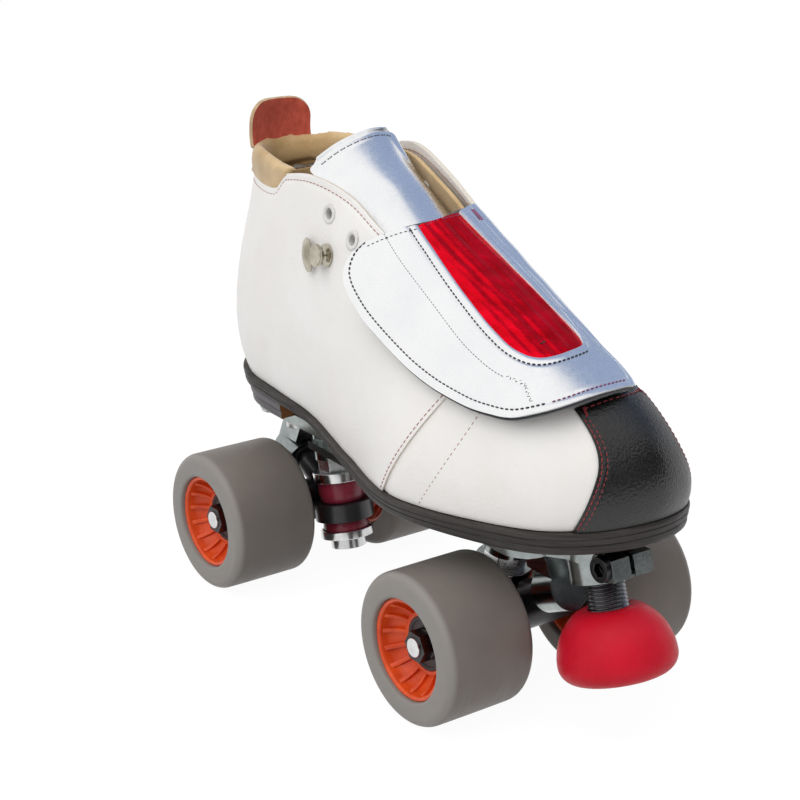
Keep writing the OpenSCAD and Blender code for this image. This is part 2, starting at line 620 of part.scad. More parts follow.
// Eyelets along both facings, and one hook on each side below them
EYES = [[5.31, 0.885], [4.64, 0.856], [4.1, 0.85], [3.5, 0.86], [2.95, 0.87], [2.4, 0.88]];
module on_skin(u, t, off) aim(lay(u, t, off), out(u, t)) children();
module facings(list) for (e = list) {
  on_skin(e[0], e[1], 0) children();
  on_skin(LOOP - e[0], e[1], 0) children();
}
through = line_off + lining_t;
module eye_holes() facings(EYES) translate([0, 0, -through - 2]) cylinder(r = eyelet_d / 2 + 0.9, h = 2 * through);
module eyelets() color([0.35, 0.34, 0.33]) facings(EYES) difference() {
  union() {
    translate([0, 0, layer_gap]) cylinder(r = eyelet_d / 2 + 2.2, h = 0.7);
    translate([0, 0, -through - 0.5]) cylinder(r = eyelet_d / 2 + 0.7, h = through + 1);
  }
  translate([0, 0, -10]) cylinder(r = eyelet_d / 2, h = 20);
}
HOOKS = [[5.19, 0.718]];
module lace_hooks() color([0.72, 0.7, 0.66]) facings(HOOKS) {
  translate([0, 0, layer_gap + 0.25]) {
    translate([-4.5, -4.5, 0]) cube([9, 9, 0.8]);
    cylinder(r = 1.9, h = 4);
    translate([0, 0, 4]) cylinder(r = 4.2, h = 1);
    translate([-2, -9, 4]) cube([4, 9, 1]);
  }
}

// Lace cover: a formed leather sheet, one section along the whole sewn edge
HINGE = [16, 14, 109];
cover_slope = atan2(1, 2);
// Section across the cover as [side, up], from the sewn edge to the free edge
SECTION = [[14, 1.6], [-12, 8.5], [-42, -2.4], [-49.2, -36.5]];
function sec(t) = bezier(SECTION[0], SECTION[1], SECTION[2], SECTION[3], t);
function sec_n(t) =
  let (a = sec(max(t - 0.01, 0)), b = sec(min(t + 0.01, 1)), d = unit(b - a)) [d[1], -d[0]];
function sec_at(t, off) = sec(t) - off * sec_n(t) * -1;
module along_hinge() translate([stance_x + fit_x * HINGE[0], 0, plate_top + fit_z * HINGE[2]])
  rotate([0, cover_slope, 0]) children();
// Prism of a strip of the section between two offsets, along the sewn edge
module strip(t0, t1, lo, hi, d0, d1) rotate([90, 0, 90]) translate([0, 0, d0]) linear_extrude(d1 - d0)
  polygon(concat([for (t = steps(t0, t1, 14)) sec_at(t, lo)], [for (t = steps(t1, t0, 14)) sec_at(t, hi)]));
// Seen square onto the formed sheet: outline as [along, across]
tip = cover_l + 3;
OUTLINE = [[5, 20], [3, -10], [-3, -34], [-5, -42], [0, -49], [13, -53], [44, -54], [79, -48.5],
  [tip - 15, -41], [tip - 6, -30], [tip - 1, -14], [tip, 0], [tip, 20]];
function smooth(list, n) =
  let (m = len(list) - 1)
  [for (i = [0:m - 1]) for (k = [0:n - 1]) blend4(list[max(i - 1, 0)], list[i], list[i + 1], list[min(i + 2, m)], k / n)];
across = 35;
module cut_out(list) rotate([across, 0, 0]) translate([0, 0, -120]) linear_extrude(240) polygon(list);
cover_lo = 0;
module lace_cover() color([0.88, 0.89, 0.9]) along_hinge() difference() {
  intersection() {
    strip(0, 1, cover_lo, cover_lo + cover_t, -20, 130);
    cut_out(concat(smooth(OUTLINE, 4), [OUTLINE[len(OUTLINE) - 1]]));
  }
  cut_out(concat(smooth(WINDOW, 5), [WINDOW[len(WINDOW) - 1]]));
}
// Window in the cover, open to its top edge
WINDOW = [[-10, -15], [0, -15.5], [60, -19.5], [75, -17.5], [83, -10], [87, 1], [86, 6], [60, 8], [0, 8], [-10, 8]];
module cover_window() color([0.75, 0.03, 0.08]) along_hinge() intersection() {
  strip(0.02, 0.6, cover_lo + 0.3, cover_lo + cover_t - 0.5, -20, 130);
  cut_out(concat(smooth(OUTLINE, 4), [OUTLINE[len(OUTLINE) - 1]]));
  cut_out(concat(smooth(WINDOW, 5), [WINDOW[len(WINDOW) - 1]]));
}
module cover_anchor() color([0.8, 0.81, 0.83]) along_hinge() rotate([90, 0, 90])
  translate([0, 0, 6]) linear_extrude(cover_l - 6)
  polygon([[15, 1.3], [15, 3.8], [22, 1.8], [27, -2.2], [26, -4.2], [21, -0.5]]);

// Hook and loop pads that hold the cover's free edge down
module pad_strip(lo, hi) along_hinge() intersection() {
  strip(0.7, 0.84, lo, hi, 12, 64);
  cut_out([[14, -70], [62, -70], [62, 20], [14, 20]]);
}
module loop_patch() color([0.1, 0.1, 0.1]) pad_strip(-2.2, -1.4);
module hook_patch() color([0.1, 0.1, 0.1]) pad_strip(-1.1, -0.3);

module axle_set(which) {
  if (which == "hanger") color([0.07, 0.07, 0.08]) hanger();
  if (which == "axle") color([0.72, 0.73, 0.75]) axle();
  if (which == "nuts") color([0.8, 0.8, 0.82]) axle_nuts();
  if (which == "rings") color([0.7, 0.71, 0.73]) inner_rings();
  if (which == "sleeves") color([0.66, 0.67, 0.7]) sleeves();
}
module wheel_set(which) {
  if (which == "tyre") color([0.5, 0.47, 0.44]) tyre();
  if (which == "core") color([0.85, 0.3, 0.08]) core();
  if (which == "rings") color([0.3, 0.3, 0.32]) both_seats() outer_ring();
  if (which == "balls") color([0.8, 0.8, 0.82]) both_seats() balls();
}

outsole();
heel_stack();
insole();
vamp();
lateral_quarter();
medial_quarter();
toe_cap();
lining();
collar_pad();
tongue();
pull_tab();
eyelets();
lace_hooks();
cover_anchor();
loop_patch();
plate();
plate_bolts();
plate_nuts();
color([0.7, 0.7, 0.72]) { front() kingpin(); rear() kingpin(); }  // kingpins
color([0.7, 0.7, 0.72]) { front() kingpin_nut(); rear() kingpin_nut(); }  // kingpin_nuts
color([0.45, 0.06, 0.1]) front() upper_cushion();  // front_upper_cushion
color([0.45, 0.06, 0.1]) front() lower_cushion();  // front_lower_cushion
color([0.45, 0.06, 0.1]) rear() upper_cushion();  // rear_upper_cushion
color([0.45, 0.06, 0.1]) rear() lower_cushion();  // rear_lower_cushion
color([0.8, 0.8, 0.8]) { front() retainers(); rear() retainers(); }  // cushion_retainers
color([0.12, 0.12, 0.12]) { front() pivot_cup(); rear() pivot_cup(); }  // pivot_cups
clamp_bolt();
toe_stop_rubber();
toe_stop_stem();
lace_cover();
cover_window();
hook_patch();
front() axle_set("hanger");  // front_hanger
front() axle_set("axle");  // front_axle
front() axle_set("nuts");  // front_axle_nuts
front() axle_set("rings");  // front_inner_rings
front() axle_set("sleeves");  // front_sleeves
rear() axle_set("hanger");  // rear_hanger
rear() axle_set("axle");  // rear_axle
rear() axle_set("nuts");  // rear_axle_nuts
rear() axle_set("rings");  // rear_inner_rings
rear() axle_set("sleeves");  // rear_sleeves
front() wheel_right() wheel_set("tyre");  // front_right_tyre
front() wheel_right() wheel_set("core");  // front_right_core
front() wheel_right() wheel_set("rings");  // front_right_outer_rings
front() wheel_right() wheel_set("balls");  // front_right_balls
front() wheel_left() wheel_set("tyre");  // front_left_tyre
front() wheel_left() wheel_set("core");  // front_left_core
front() wheel_left() wheel_set("rings");  // front_left_outer_rings
front() wheel_left() wheel_set("balls");  // front_left_balls
rear() wheel_right() wheel_set("tyre");  // rear_right_tyre
rear() wheel_right() wheel_set("core");  // rear_right_core
rear() wheel_right() wheel_set("rings");  // rear_right_outer_rings
rear() wheel_right() wheel_set("balls");  // rear_right_balls
rear() wheel_left() wheel_set("tyre");  // rear_left_tyre
rear() wheel_left() wheel_set("core");  // rear_left_core
rear() wheel_left() wheel_set("rings");  // rear_left_outer_rings
rear() wheel_left() wheel_set("balls");  // rear_left_balls
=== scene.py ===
import json
import math
import bpy
import numpy as np
from mathutils import Matrix, Vector


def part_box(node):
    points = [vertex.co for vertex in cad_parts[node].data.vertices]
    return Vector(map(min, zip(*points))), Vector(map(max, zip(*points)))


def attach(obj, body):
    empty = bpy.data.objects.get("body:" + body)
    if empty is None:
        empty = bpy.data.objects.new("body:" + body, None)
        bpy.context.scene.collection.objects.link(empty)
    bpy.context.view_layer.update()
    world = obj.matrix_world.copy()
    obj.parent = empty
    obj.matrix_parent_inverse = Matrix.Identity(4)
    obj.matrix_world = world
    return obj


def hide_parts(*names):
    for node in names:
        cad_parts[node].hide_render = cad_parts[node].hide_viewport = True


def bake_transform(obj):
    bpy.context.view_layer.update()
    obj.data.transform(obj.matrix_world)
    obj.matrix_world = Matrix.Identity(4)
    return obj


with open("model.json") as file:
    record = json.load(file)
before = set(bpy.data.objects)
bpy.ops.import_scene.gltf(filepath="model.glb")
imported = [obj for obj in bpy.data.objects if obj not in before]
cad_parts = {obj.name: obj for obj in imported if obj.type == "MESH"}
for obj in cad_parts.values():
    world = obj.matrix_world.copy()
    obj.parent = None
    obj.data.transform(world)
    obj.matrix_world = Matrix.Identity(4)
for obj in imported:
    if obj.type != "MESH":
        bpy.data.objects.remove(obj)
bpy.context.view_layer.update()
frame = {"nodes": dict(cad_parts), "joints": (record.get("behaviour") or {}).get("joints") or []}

# Outsole. A welted leather sole: a tread layer, a midsole and a welt that stands out
# round the upper, cemented and stitched together, edges sanded, dyed dark and waxed.
MM = 0.001
JOINTS = {j["name"]: j for j in frame["joints"]}
AXLE_X = [JOINTS[n]["pos_m"][0] for n in ("front_right_spin", "rear_right_spin")]
STANCE = sum(AXLE_X) / 2
PLATE_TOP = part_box("plate")[1].z

# The last, from the toe round to the back: welt point, two handles and top edge as
# [along, half width, above the plate], then the column's swing and the sole underneath
LAST = [
    [[138, 0, 14], [145.5, 0, 33.5], [130, 0, 53.5], [104, 0, 62], 8, 3],
    [[128, 25, 12], [135.5, 27, 31.5], [117, 20.5, 55.5], [100, 9, 64], 7, 1.5],
    [[104, 39, 10], [108, 44, 33], [98, 35, 63], [82, 14, 73], 3, 0],
    [[54, 48, 8], [54, 52, 32], [58, 41, 73], [52, 18, 87], -2, 0],
    [[8, 38, 8], [8, 42, 36], [20, 38, 78], [16, 25, 101], -2, 1],
    [[-34, 29, 11], [-36, 35, 40], [-16, 34, 82], [-10, 26, 112], -1, 6],
    [[-64, 29, 14], [-66, 34, 40], [-48, 31, 82], [-38, 28, 116], 0, 8],
    [[-92, 26, 15], [-98, 32, 38], [-82, 28, 80], [-70, 26, 110], 0, 8],
    [[-110, 15, 16], [-125, 21, 36], [-107, 18, 74], [-100, 17, 104], 0, 8],
    [[-116, 0, 16], [-135, 0, 36], [-114, 0, 74], [-112, 0, 100], 0, 8]]
INNER_LIFT = [0, 0, 0, 0, 0, 4, 6, 4, 1, 0]
# The inner side is flatter than the outer one: narrower and lower at these [row, handle]
INNER_FLAT = {(1, 1): (1, 0), (1, 2): (4, 2), (2, 1): (5, 0), (2, 2): (13, 6), (3, 1): (4, 0), (3, 2): (10, 5),
              (4, 2): (5, 2), (4, 3): (1.5, 1), (5, 3): (1, 1)}
# Share of a column's swing that is left at its top edge
TOP_SWING = 0.6
BACK = len(LAST) - 1
LOOP = 2 * BACK


def last_column(i):
    """The four handles of column i, counted from the toe round the outer side."""
    row, inner = min(i, LOOP - i), i > BACK
    lift = INNER_LIFT[row] if inner else 0
    points = []
    for k in range(4):
        x, half, z = LAST[row][k]
        narrow, low = INNER_FLAT.get((row, k), (0, 0)) if inner else (0, 0)
        half, top = half - narrow, k == 3
        points.append([
            (x - (lift if top else 0)) * MM + STANCE,
            ((half if inner else -half) + LAST[row][4] * (TOP_SWING if top else 1)) * MM,
            (z - low + (lift if top else lift / 2 if k == 2 else 0)) * MM + PLATE_TOP])
    return points


COLUMNS = np.array([last_column(i) for i in range(LOOP)])
SWING, UNDER = (np.array([LAST[min(i, LOOP - i)][k] for i in range(LOOP)]) * MM for k in (4, 5))


def through(values, s, closed=False):
    """Smooth curve through the rows of a table, s counted in rows; a closed one runs round."""
    values, s = np.asarray(values, float), np.asarray(s, float)
    last = len(values) - 1
    if not closed:
        s = np.clip(s, 0, last)
    i = np.floor(s).astype(int)
    if not closed:
        i = np.minimum(i, last - 1)
    f = (s - i).reshape(s.shape + (1,) * (values.ndim - 1))
    a, b, c, d = (values[(i + j) % len(values) if closed else np.clip(i + j, 0, last)] for j in (-1, 0, 1, 2))
    return (2 * b + (c - a) * f + (2 * a - 5 * b + 4 * c - d) * f ** 2 + (3 * b - a - 3 * c + d) * f ** 3) / 2


def bezier(p, t):
    """Cubic curve over the four handles in the last axis but one."""
    m = 1 - t
    return (m ** 3 * p[..., 0, :] + 3 * m * m * t * p[..., 1, :]
            + 3 * m * t * t * p[..., 2, :] + t ** 3 * p[..., 3, :])


def last_skin(u, t):
    """Point on the last: u counts columns round the boot, t runs from welt to top edge."""
    u, t = np.broadcast_arrays(np.asarray(u, float), np.asarray(t, float))
    return bezier(through(COLUMNS, u, True), t[..., None])


def unit(v):
    return v / np.linalg.norm(v, axis=-1, keepdims=True)


def last_out(u, t):
    """Outward direction of the last at (u, t)."""
    u, t, e = np.asarray(u, float), np.asarray(t, float), 0.01
    up = last_skin(u, np.minimum(t + e, 1)) - last_skin(u, np.maximum(t - e, 0))
    return unit(np.cross(up, last_skin(u + e, t) - last_skin(u - e, t)))


def on_last(u, t, off=0.0):
    return last_skin(u, t) + last_out(u, t) * np.asarray(off)[..., None]


def welt_line(u, grow):
    """Plan of the sole's edge, let out by grow, at the welt's height."""
    welt, e = COLUMNS[:, 0], 0.05
    p = through(welt, u, True)
    along = through(welt, u + e, True) - through(welt, u - e, True)
    p[..., :2] += np.asarray(grow)[..., None] * unit(np.stack([-along[..., 1], along[..., 0]], -1))
    return p


def alone(piece, *others):
    """Selects a piece, with any others behind it, and nothing else."""
    bpy.ops.object.select_all(action="DESELECT")
    for one in (piece, *others):
        one.select_set(True)
    bpy.context.view_layer.objects.active = piece


def started(kind, name, **settings):
    """New piece from a mesh primitive."""
    bpy.ops.object.select_all(action="DESELECT")
    getattr(bpy.ops.mesh, f"primitive_{kind}_add")(**settings)
    piece = bpy.context.object
    piece.name = piece.data.name = name
    return piece


def edit(piece, *tools):
    """Runs mesh tools, each as [tool, settings], on the whole of a piece."""
    alone(piece)
    bpy.ops.object.mode_set(mode="EDIT")
    bpy.ops.mesh.select_all(action="SELECT")
    for tool, settings in tools:
        getattr(bpy.ops.mesh, tool)(**settings)
    bpy.ops.object.mode_set(mode="OBJECT")


SELECT_ALL = ("select_all", {"action": "SELECT"})
FACE_OUT = ("normals_make_consistent", {"inside": False})
FILL_HOLES = (("select_non_manifold", {"extend": False}), ("fill_holes", {"sides": 0}))


def grid_piece(name, cols, rows, place, merge=True):
    """Grid with its points laid by place(a, b), a across and b along, both 0 to 1."""
    piece = started("grid", name, x_subdivisions=cols, y_subdivisions=rows, size=1)
    flat = np.empty(len(piece.data.vertices) * 3, np.float32)
    piece.data.vertices.foreach_get("co", flat)
    flat = flat.reshape(-1, 3).astype(float) + 0.5
    spots = np.ascontiguousarray(place(flat[:, 0].round(6), flat[:, 1].round(6)), np.float32)
    piece.data.vertices.foreach_set("co", spots.ravel())
    piece.data.update()
    if merge:
        edit(piece, ("remove_doubles", {"threshold": 0.02 * MM}))
    return piece


def outward(piece):
    """Turns the faces of a closed piece outwards."""
    edit(piece, FACE_OUT)


def finish_with(piece, kind, **settings):
    """Adds a modifier with these settings and applies it."""
    alone(piece)
    tool = piece.modifiers.new(kind.title(), kind)
    for key, value in settings.items():
        setattr(tool, key, value)
    bpy.ops.object.modifier_apply(modifier=tool.name)


def smooth(piece, angle=40):
    alone(piece)
    bpy.ops.object.shade_smooth_by_angle(angle=math.radians(angle))


def wear(piece, *materials):
    piece.data.materials.clear()
    for m in materials:
        piece.data.materials.append(m)


def serve(piece, body, slot, *nodes):
    """Says which body a piece rides on and which solids it stands for; what it is made of, its slot, is not used."""
    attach(piece, body)
    if nodes:
        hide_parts(*nodes)


def plug(tree, node, **sockets):
    """Sets a node's inputs, by name or number, to a value or another node's output."""
    for key, value in sockets.items():
        s = node.inputs[int(key[1:]) if key[1:].isdigit() else key.replace("_", " ")]
        if isinstance(value, bpy.types.NodeSocket):
            tree.links.new(value, s)
        else:
            s.default_value = value
    return node


def put(tree, kind, settings=None, **sockets):
    """Adds a node with its settings and inputs."""
    node = tree.nodes.new("ShaderNode" + kind)
    for key, value in (settings or {}).items():
        setattr(node, key, value)
    return plug(tree, node, **sockets)


def stretch(tree, spot, by):
    return put(tree, "Mapping", Vector=spot, Scale=by).outputs[0] if by else spot


def noise(scale, detail=3, rough=0.55, by=None):
    """Noise, to be made in a tree on its coordinates."""
    return lambda tree, spot: put(tree, "TexNoise", Vector=stretch(tree, spot, by), Scale=scale,
                                  Detail=detail, Roughness=rough).outputs["Fac"]


def cells(scale, feature="F1", by=None):
    """Cells of pebbled leather, to be made in the same way."""
    return lambda tree, spot: put(tree, "TexVoronoi", {"feature": feature}, Scale=scale,
                                  Vector=stretch(tree, spot, by)).outputs["Distance"]


def blank_finish(name):
    """New material: its tree, its shader and the piece's own coordinates."""
    m = bpy.data.materials.new(name)
    m.use_nodes = True
    tree = m.node_tree
    spot = tree.nodes.new("ShaderNodeTexCoord").outputs["Object"]
    return m, tree, tree.nodes["Principled BSDF"], spot


def finish(name, maps, paint, rough, bumps, coats=(), turn=None, **sockets):
    """Material of named maps. Paint is [map, dark, light], rough a value or [map, least, most],
    either with the map's span if it is not the usual one; bumps are [map, depth, strength], the
    top one first; coats are [map, span from, to, share, colour]."""
    m, tree, shader, spot = blank_finish(name)
    if turn:
        spot = put(tree, "Mapping", Vector=spot, Rotation=turn).outputs[0]
    made = {key: make(tree, spot) for key, make in maps.items()}

    def share(key, span, least=0.0, most=1.0):
        low, high = span or (0.3, 0.7)
        return put(tree, "MapRange", Value=made[key], From_Min=low, From_Max=high,
                   To_Min=least, To_Max=most).outputs[0]

    def mix(part, under, over):
        return put(tree, "Mix", {"data_type": "RGBA"}, _0=part, _6=under, _7=(*over, 1)).outputs[2]

    key, dark, light, *span = paint
    colour = mix(share(key, span), (*dark, 1), light)
    for key, low, high, most, tone in coats:
        colour = mix(share(key, (low, high), 0.0, most), colour, tone)
    if isinstance(rough, tuple):
        key, least, most, *span = rough
        rough = share(key, span, least, most)
    normal = {}
    for key, depth, strength in reversed(bumps):
        normal = {"Normal": put(tree, "Bump", Height=made[key], Strength=strength, Distance=depth,
                                **normal).outputs[0]}
    plug(tree, shader, Base_Color=colour, Roughness=rough, **normal, **sockets)
    return m


def edge_rows(table, a):
    """Row of an edge table at each step across, and which steps close the piece inside."""
    k = (a * (len(table) + 1)).round().astype(int)
    return np.array([table[0]] + table + [table[-1]])[k], (k == 0) | (k == len(table) + 1)


ROUND_STEPS = 216
# Edge of the sole from under to over, as [standing out in mm, share of its height]
SOLE_EDGE = [[-10, 0], [-4, 0.05], [0.2, 0.13], [1.0, 0.16], [1.5, 0.21], [1.75, 0.30], [1.75, 0.46], [1.45, 0.49],
             [1.45, 0.51], [2.0, 0.54], [2.2, 0.62], [2.2, 0.72], [1.95, 0.745], [1.95, 0.765],
             [2.4, 0.79], [2.5, 0.86], [2.45, 0.93], [2.15, 0.985], [1.5, 1.0], [-4, 1.0]]


def sole_spot(a, b):
    u = b * LOOP
    edge, inside = edge_rows(SOLE_EDGE, a)
    p = welt_line(u, edge[:, 0] * MM)
    low = PLATE_TOP + np.maximum(through(UNDER, u, True), 0)
    p[:, 2] = low + (p[:, 2] - low) * edge[:, 1]
    p[inside, 1] = through(SWING, u, True)[inside]
    return p


outsole = grid_piece("outsole_layers", len(SOLE_EDGE) + 1, ROUND_STEPS, sole_spot)
outward(outsole)
smooth(outsole, 35)
wear(outsole, finish(
    "sole_edge", dict(plies=noise(1, 2, by=(18, 18, 900)), dust=noise(55, 5), scuff=noise(1, 4, 0.7, (160, 160, 900))),
    ("plies", (0.022, 0.019, 0.017), (0.044, 0.038, 0.035)), ("scuff", 0.36, 0.62),
    [("plies", 0.0004, 0.5), ("scuff", 0.0002, 0.5)], [("dust", 0.52, 0.8, 0.35, (0.085, 0.078, 0.074))],
    Specular_IOR_Level=0.3))
serve(outsole, "boot", "sole_edge", "outsole")

# Heel stack. Two lifts of stacked leather pegged under the sole, their edge dyed a
# dark grey; the breast that faces forward is left the natural tan of the leather.
HEEL_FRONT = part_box("heel_stack")[1].x
HEEL_LOW, HEEL_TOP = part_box("heel_stack")[0].z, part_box("heel_stack")[1].z
# Edge of the stack from under to over, as [standing out in mm, share of its height]
HEEL_EDGE = [[-3.4, 0.0], [-2.0, 0.01], [-1.55, 0.06], [-1.45, 0.2], [-1.3, 0.44], [-1.6, 0.48],
             [-1.6, 0.52], [-0.6, 0.56], [-0.35, 0.75], [-0.25, 0.93], [-0.5, 0.985], [-1.5, 1.0]]
heel_us = np.linspace(5, 9, 401)
HEEL_U = float(heel_us[np.argmin(abs(welt_line(heel_us, -1.5 * MM)[:, 0] - HEEL_FRONT))])
HEEL_STEPS, BREAST_STEPS = 90, 20
HEEL_WIDEST = max(row[0] for row in HEEL_EDGE)
BREAST_BOW, BREAST_RAKE = 4 * MM, 0.6


def heel_spot(a, b):
    edge, inside = edge_rows(HEEL_EDGE, a)
    share = b * (HEEL_STEPS + BREAST_STEPS) / HEEL_STEPS
    u = HEEL_U + np.minimum(share, 1) * (LOOP - 2 * HEEL_U)
    p = welt_line(u, edge[:, 0] * MM)
    front = HEEL_FRONT + (edge[:, 0] - HEEL_WIDEST) * MM * BREAST_RAKE
    p[:, 0] = np.minimum(p[:, 0], front)
    across = np.clip((share - 1) * HEEL_STEPS / BREAST_STEPS, 0, 1)
    side = welt_line(np.full_like(u, HEEL_U), edge[:, 0] * MM)[:, 1]
    bowed, corner = share > 1, (share == 1) | (b == 0)
    p[bowed, 1] = (-side + across * 2 * side)[bowed]
    p[bowed, 0] = (front - BREAST_BOW * np.sin(np.pi * across))[bowed]
    p[corner, 0] = front[corner]
    p[:, 2] = HEEL_LOW + (HEEL_TOP - HEEL_LOW) * edge[:, 1]
    p[inside, 1] = 0
    p[inside, 0] = np.minimum(p[inside, 0], HEEL_FRONT - 3 * MM)
    return p


heel = grid_piece("heel_lifts", len(HEEL_EDGE) + 1, HEEL_STEPS + BREAST_STEPS, heel_spot)
outward(heel)
wear(heel, finish(
    "heel_edge", dict(plies=noise(1, 2, by=(25, 25, 1100)), mottle=noise(90, 4)),
    ("plies", (0.060, 0.053, 0.058), (0.110, 0.100, 0.107)), ("mottle", 0.42, 0.6), [("plies", 0.0004, 0.5)],
    [("mottle", 0.5, 0.8, 0.4, (0.19, 0.175, 0.18))]), finish(
    "raw_leather", dict(fibre=noise(1, 4, 0.6, (500, 120, 900)), blot=noise(120)),
    ("fibre", (0.20, 0.075, 0.018), (0.36, 0.15, 0.045)), 0.7, [("fibre", 0.0004, 0.6)],
    [("blot", 0.5, 0.8, 0.5, (0.14, 0.05, 0.015))]))
for face in heel.data.polygons:
    face.material_index = 1 if face.normal.x > 0.6 else 0
smooth(heel, 30)
serve(heel, "boot", "heel_leather", "heel_stack")

# Footbed. A moulded tan leather board inside the boot, cupped a little at its edge;
# it lies on the sole over the ends of the plate bolts.
FOOTBED_T, FOOTBED_STEPS = 4 * MM, 144
FOOTBED_EDGE = [[-6, 0.1], [-5.6, 0.5], [-5.8, 1.0], [-6.8, 1.25], [-9, 1.1], [-14, 0.98], [-20, 0.95]]


def footbed_spot(a, b):
    u = b * LOOP
    edge, inside = edge_rows(FOOTBED_EDGE, a)
    p = welt_line(u, edge[:, 0] * MM)
    p[:, 2] += FOOTBED_T * edge[:, 1]
    p[inside, 1] = through(SWING, u, True)[inside]
    return p


footbed = grid_piece("footbed_board", len(FOOTBED_EDGE) + 1, FOOTBED_STEPS, footbed_spot)
outward(footbed)
smooth(footbed)
wear(footbed, finish(
    "footbed_leather", dict(grain=cells(1100), blot=noise(30, 4)),
    ("blot", (0.40, 0.235, 0.10), (0.52, 0.33, 0.155), 0.35, 0.65), 0.6, [("grain", 0.0002, 0.4)]))
serve(footbed, "boot", "footbed", "insole")

# Lining. Soft tan leather, closed at the toe and heel, that shows inside the collar and
# under the open lace cover; its top edge is turned in and sewn to the upper.
LEATHER_T, LINING_T, LAYER_GAP = 2 * MM, 2 * MM, 0.3 * MM
LINING_OFF = LEATHER_T + 2 * LAYER_GAP


def ramp(x, low, high):
    """Smooth step from 0 at low to 1 at high."""
    f = np.clip((np.asarray(x, float) - low) / (high - low), 0, 1)
    return f * f * (3 - 2 * f)


def soft_waves(p, size, seed):
    """Slow unevenness of soft leather, from -1 to 1, over about this size."""
    k = 2 * np.pi / size
    q = p + seed
    return (np.sin(k * (q[:, 0] + 0.4 * q[:, 2])) * np.cos(k * 0.8 * (q[:, 2] - 0.3 * q[:, 1]))
            + 0.5 * np.sin(1.9 * k * (q[:, 1] + 0.7 * q[:, 0])) * np.cos(1.7 * k * q[:, 2])) / 1.5


def lining_finish(name, dark, light, nap):
    """Brushed tan leather with a soft nap and handled, darker places."""
    return finish(name, dict(blot=noise(45, 5, 0.6), fine=noise(1400, 3, 0.7), pores=cells(900)),
                  ("blot", dark, light), 0.82, [("fine", 0.0002, 0.6), ("pores", 0.0002, 0.3)],
                  [("fine", 0.45, 0.8, 0.3, [0.6 * c for c in dark])], Sheen_Weight=nap, Sheen_Roughness=0.5)


def mirror_u(u):
    """Same place counted from the toe, whichever side it is on."""
    u = np.asarray(u, float) % LOOP
    return np.minimum(u, LOOP - u)


def lining_spot(a, b):
    u = b * LOOP
    t = 0.05 + (0.925 + 0.028 * ramp(mirror_u(u), 7.4, 8.7)) * a
    p = on_last(u, t, -LINING_OFF)
    return p + last_out(u, t) * (0.3 * MM * soft_waves(p, 0.035, 0.4))[:, None]


def ease(piece, bevel, segments, angle):
    """Rounds the edges that turn by more than an angle."""
    if bevel:
        finish_with(piece, "BEVEL", width=bevel, segments=segments, limit_method="ANGLE",
                    angle_limit=math.radians(angle))


def thicken(piece, thick, bevel, segments=2, angle=55, offset=-1, back=0, rim=0):
    """Gives a sheet its thickness, inwards from its face, and rounds its cut edges."""
    finish_with(piece, "SOLIDIFY", thickness=thick, offset=offset, material_offset=back, material_offset_rim=rim)
    ease(piece, bevel, segments, angle)


lining = grid_piece("boot_lining", 44, ROUND_STEPS, lining_spot)
thicken(lining, LINING_T, 0.6 * MM, 2, 50)
smooth(lining)
wear(lining, lining_finish("tan_lining", (0.40, 0.255, 0.105), (0.60, 0.43, 0.225), 0.25))
serve(lining, "boot", "tan_lining", "lining")

# Vamp and quarters. Off-white smooth leather, lasted over the lining: the quarters lap
# over the vamp at a slanting seam on each side and dip at the back for the padded collar.
EYES = [[5.31, 0.885], [4.64, 0.856], [4.1, 0.85], [3.5, 0.86], [2.95, 0.87], [2.4, 0.88]]
EYELET_R = 2.2 * MM


def lap_u(t):
    """Where the quarter's front edge lies."""
    return 3.19 - 1.07 * t


def second_u(t):
    """Second row of stitching, on the vamp."""
    return 2.76 - 0.9 * t


def top_t(u):
    """Top edge of the leather: it dips behind the ankle, where the padded collar shows."""
    v = mirror_u(u)
    return 1 - 0.066 * ramp(v, 6.56, 6.78) + 0.064 * ramp(v, 6.8, 8.1) + 0.028 * ramp(v, 7.4, 8.7)


def groove(distance, half_width):
    return np.exp(-(distance / half_width) ** 2)


COLLAR_SEAM = 0.03


def upper_relief(u, t):
    """How far the leather is drawn in by its stitching and how it waves, in metres."""
    v = mirror_u(u)
    lower = ramp(t, 0.66, 0.56)
    drawn = 0.35 * groove(v - second_u(t), 0.022) * lower
    drawn += 0.4 * groove(t - (top_t(u) - COLLAR_SEAM), 0.008) * ramp(v, 3.6, 4.2)
    p = last_skin(u, t)
    return MM * (0.22 * soft_waves(p, 0.06, 0.1) + 0.05 * soft_waves(p, 0.017, 0.7) - drawn)


def upper_spot(u, t, lift=0.0):
    p = last_skin(u, t)
    return p + last_out(u, t) * (upper_relief(u, t) + lift)[:, None]


def as_one(name, piece, *others):
    """Joins pieces into the first of them."""
    alone(piece, *others)
    if others:
        bpy.ops.object.join()
    piece.name = piece.data.name = name
    return piece


def eyelet_cutter():
    """Round pins through every eyelet, one on each side."""
    pins = [started("cylinder", "eyelet_pin", vertices=24, radius=EYELET_R + 0.7 * MM, depth=20 * MM,
                    location=Vector(last_skin(w, t)),
                    rotation=Vector(last_out(w, t)).to_track_quat("Z", "Y").to_euler())
            for u, t in EYES for w in (u, LOOP - u)]
    cutter = as_one("eyelet_pins", *pins)
    bpy.ops.object.transform_apply(location=True, rotation=True, scale=True)
    return cutter


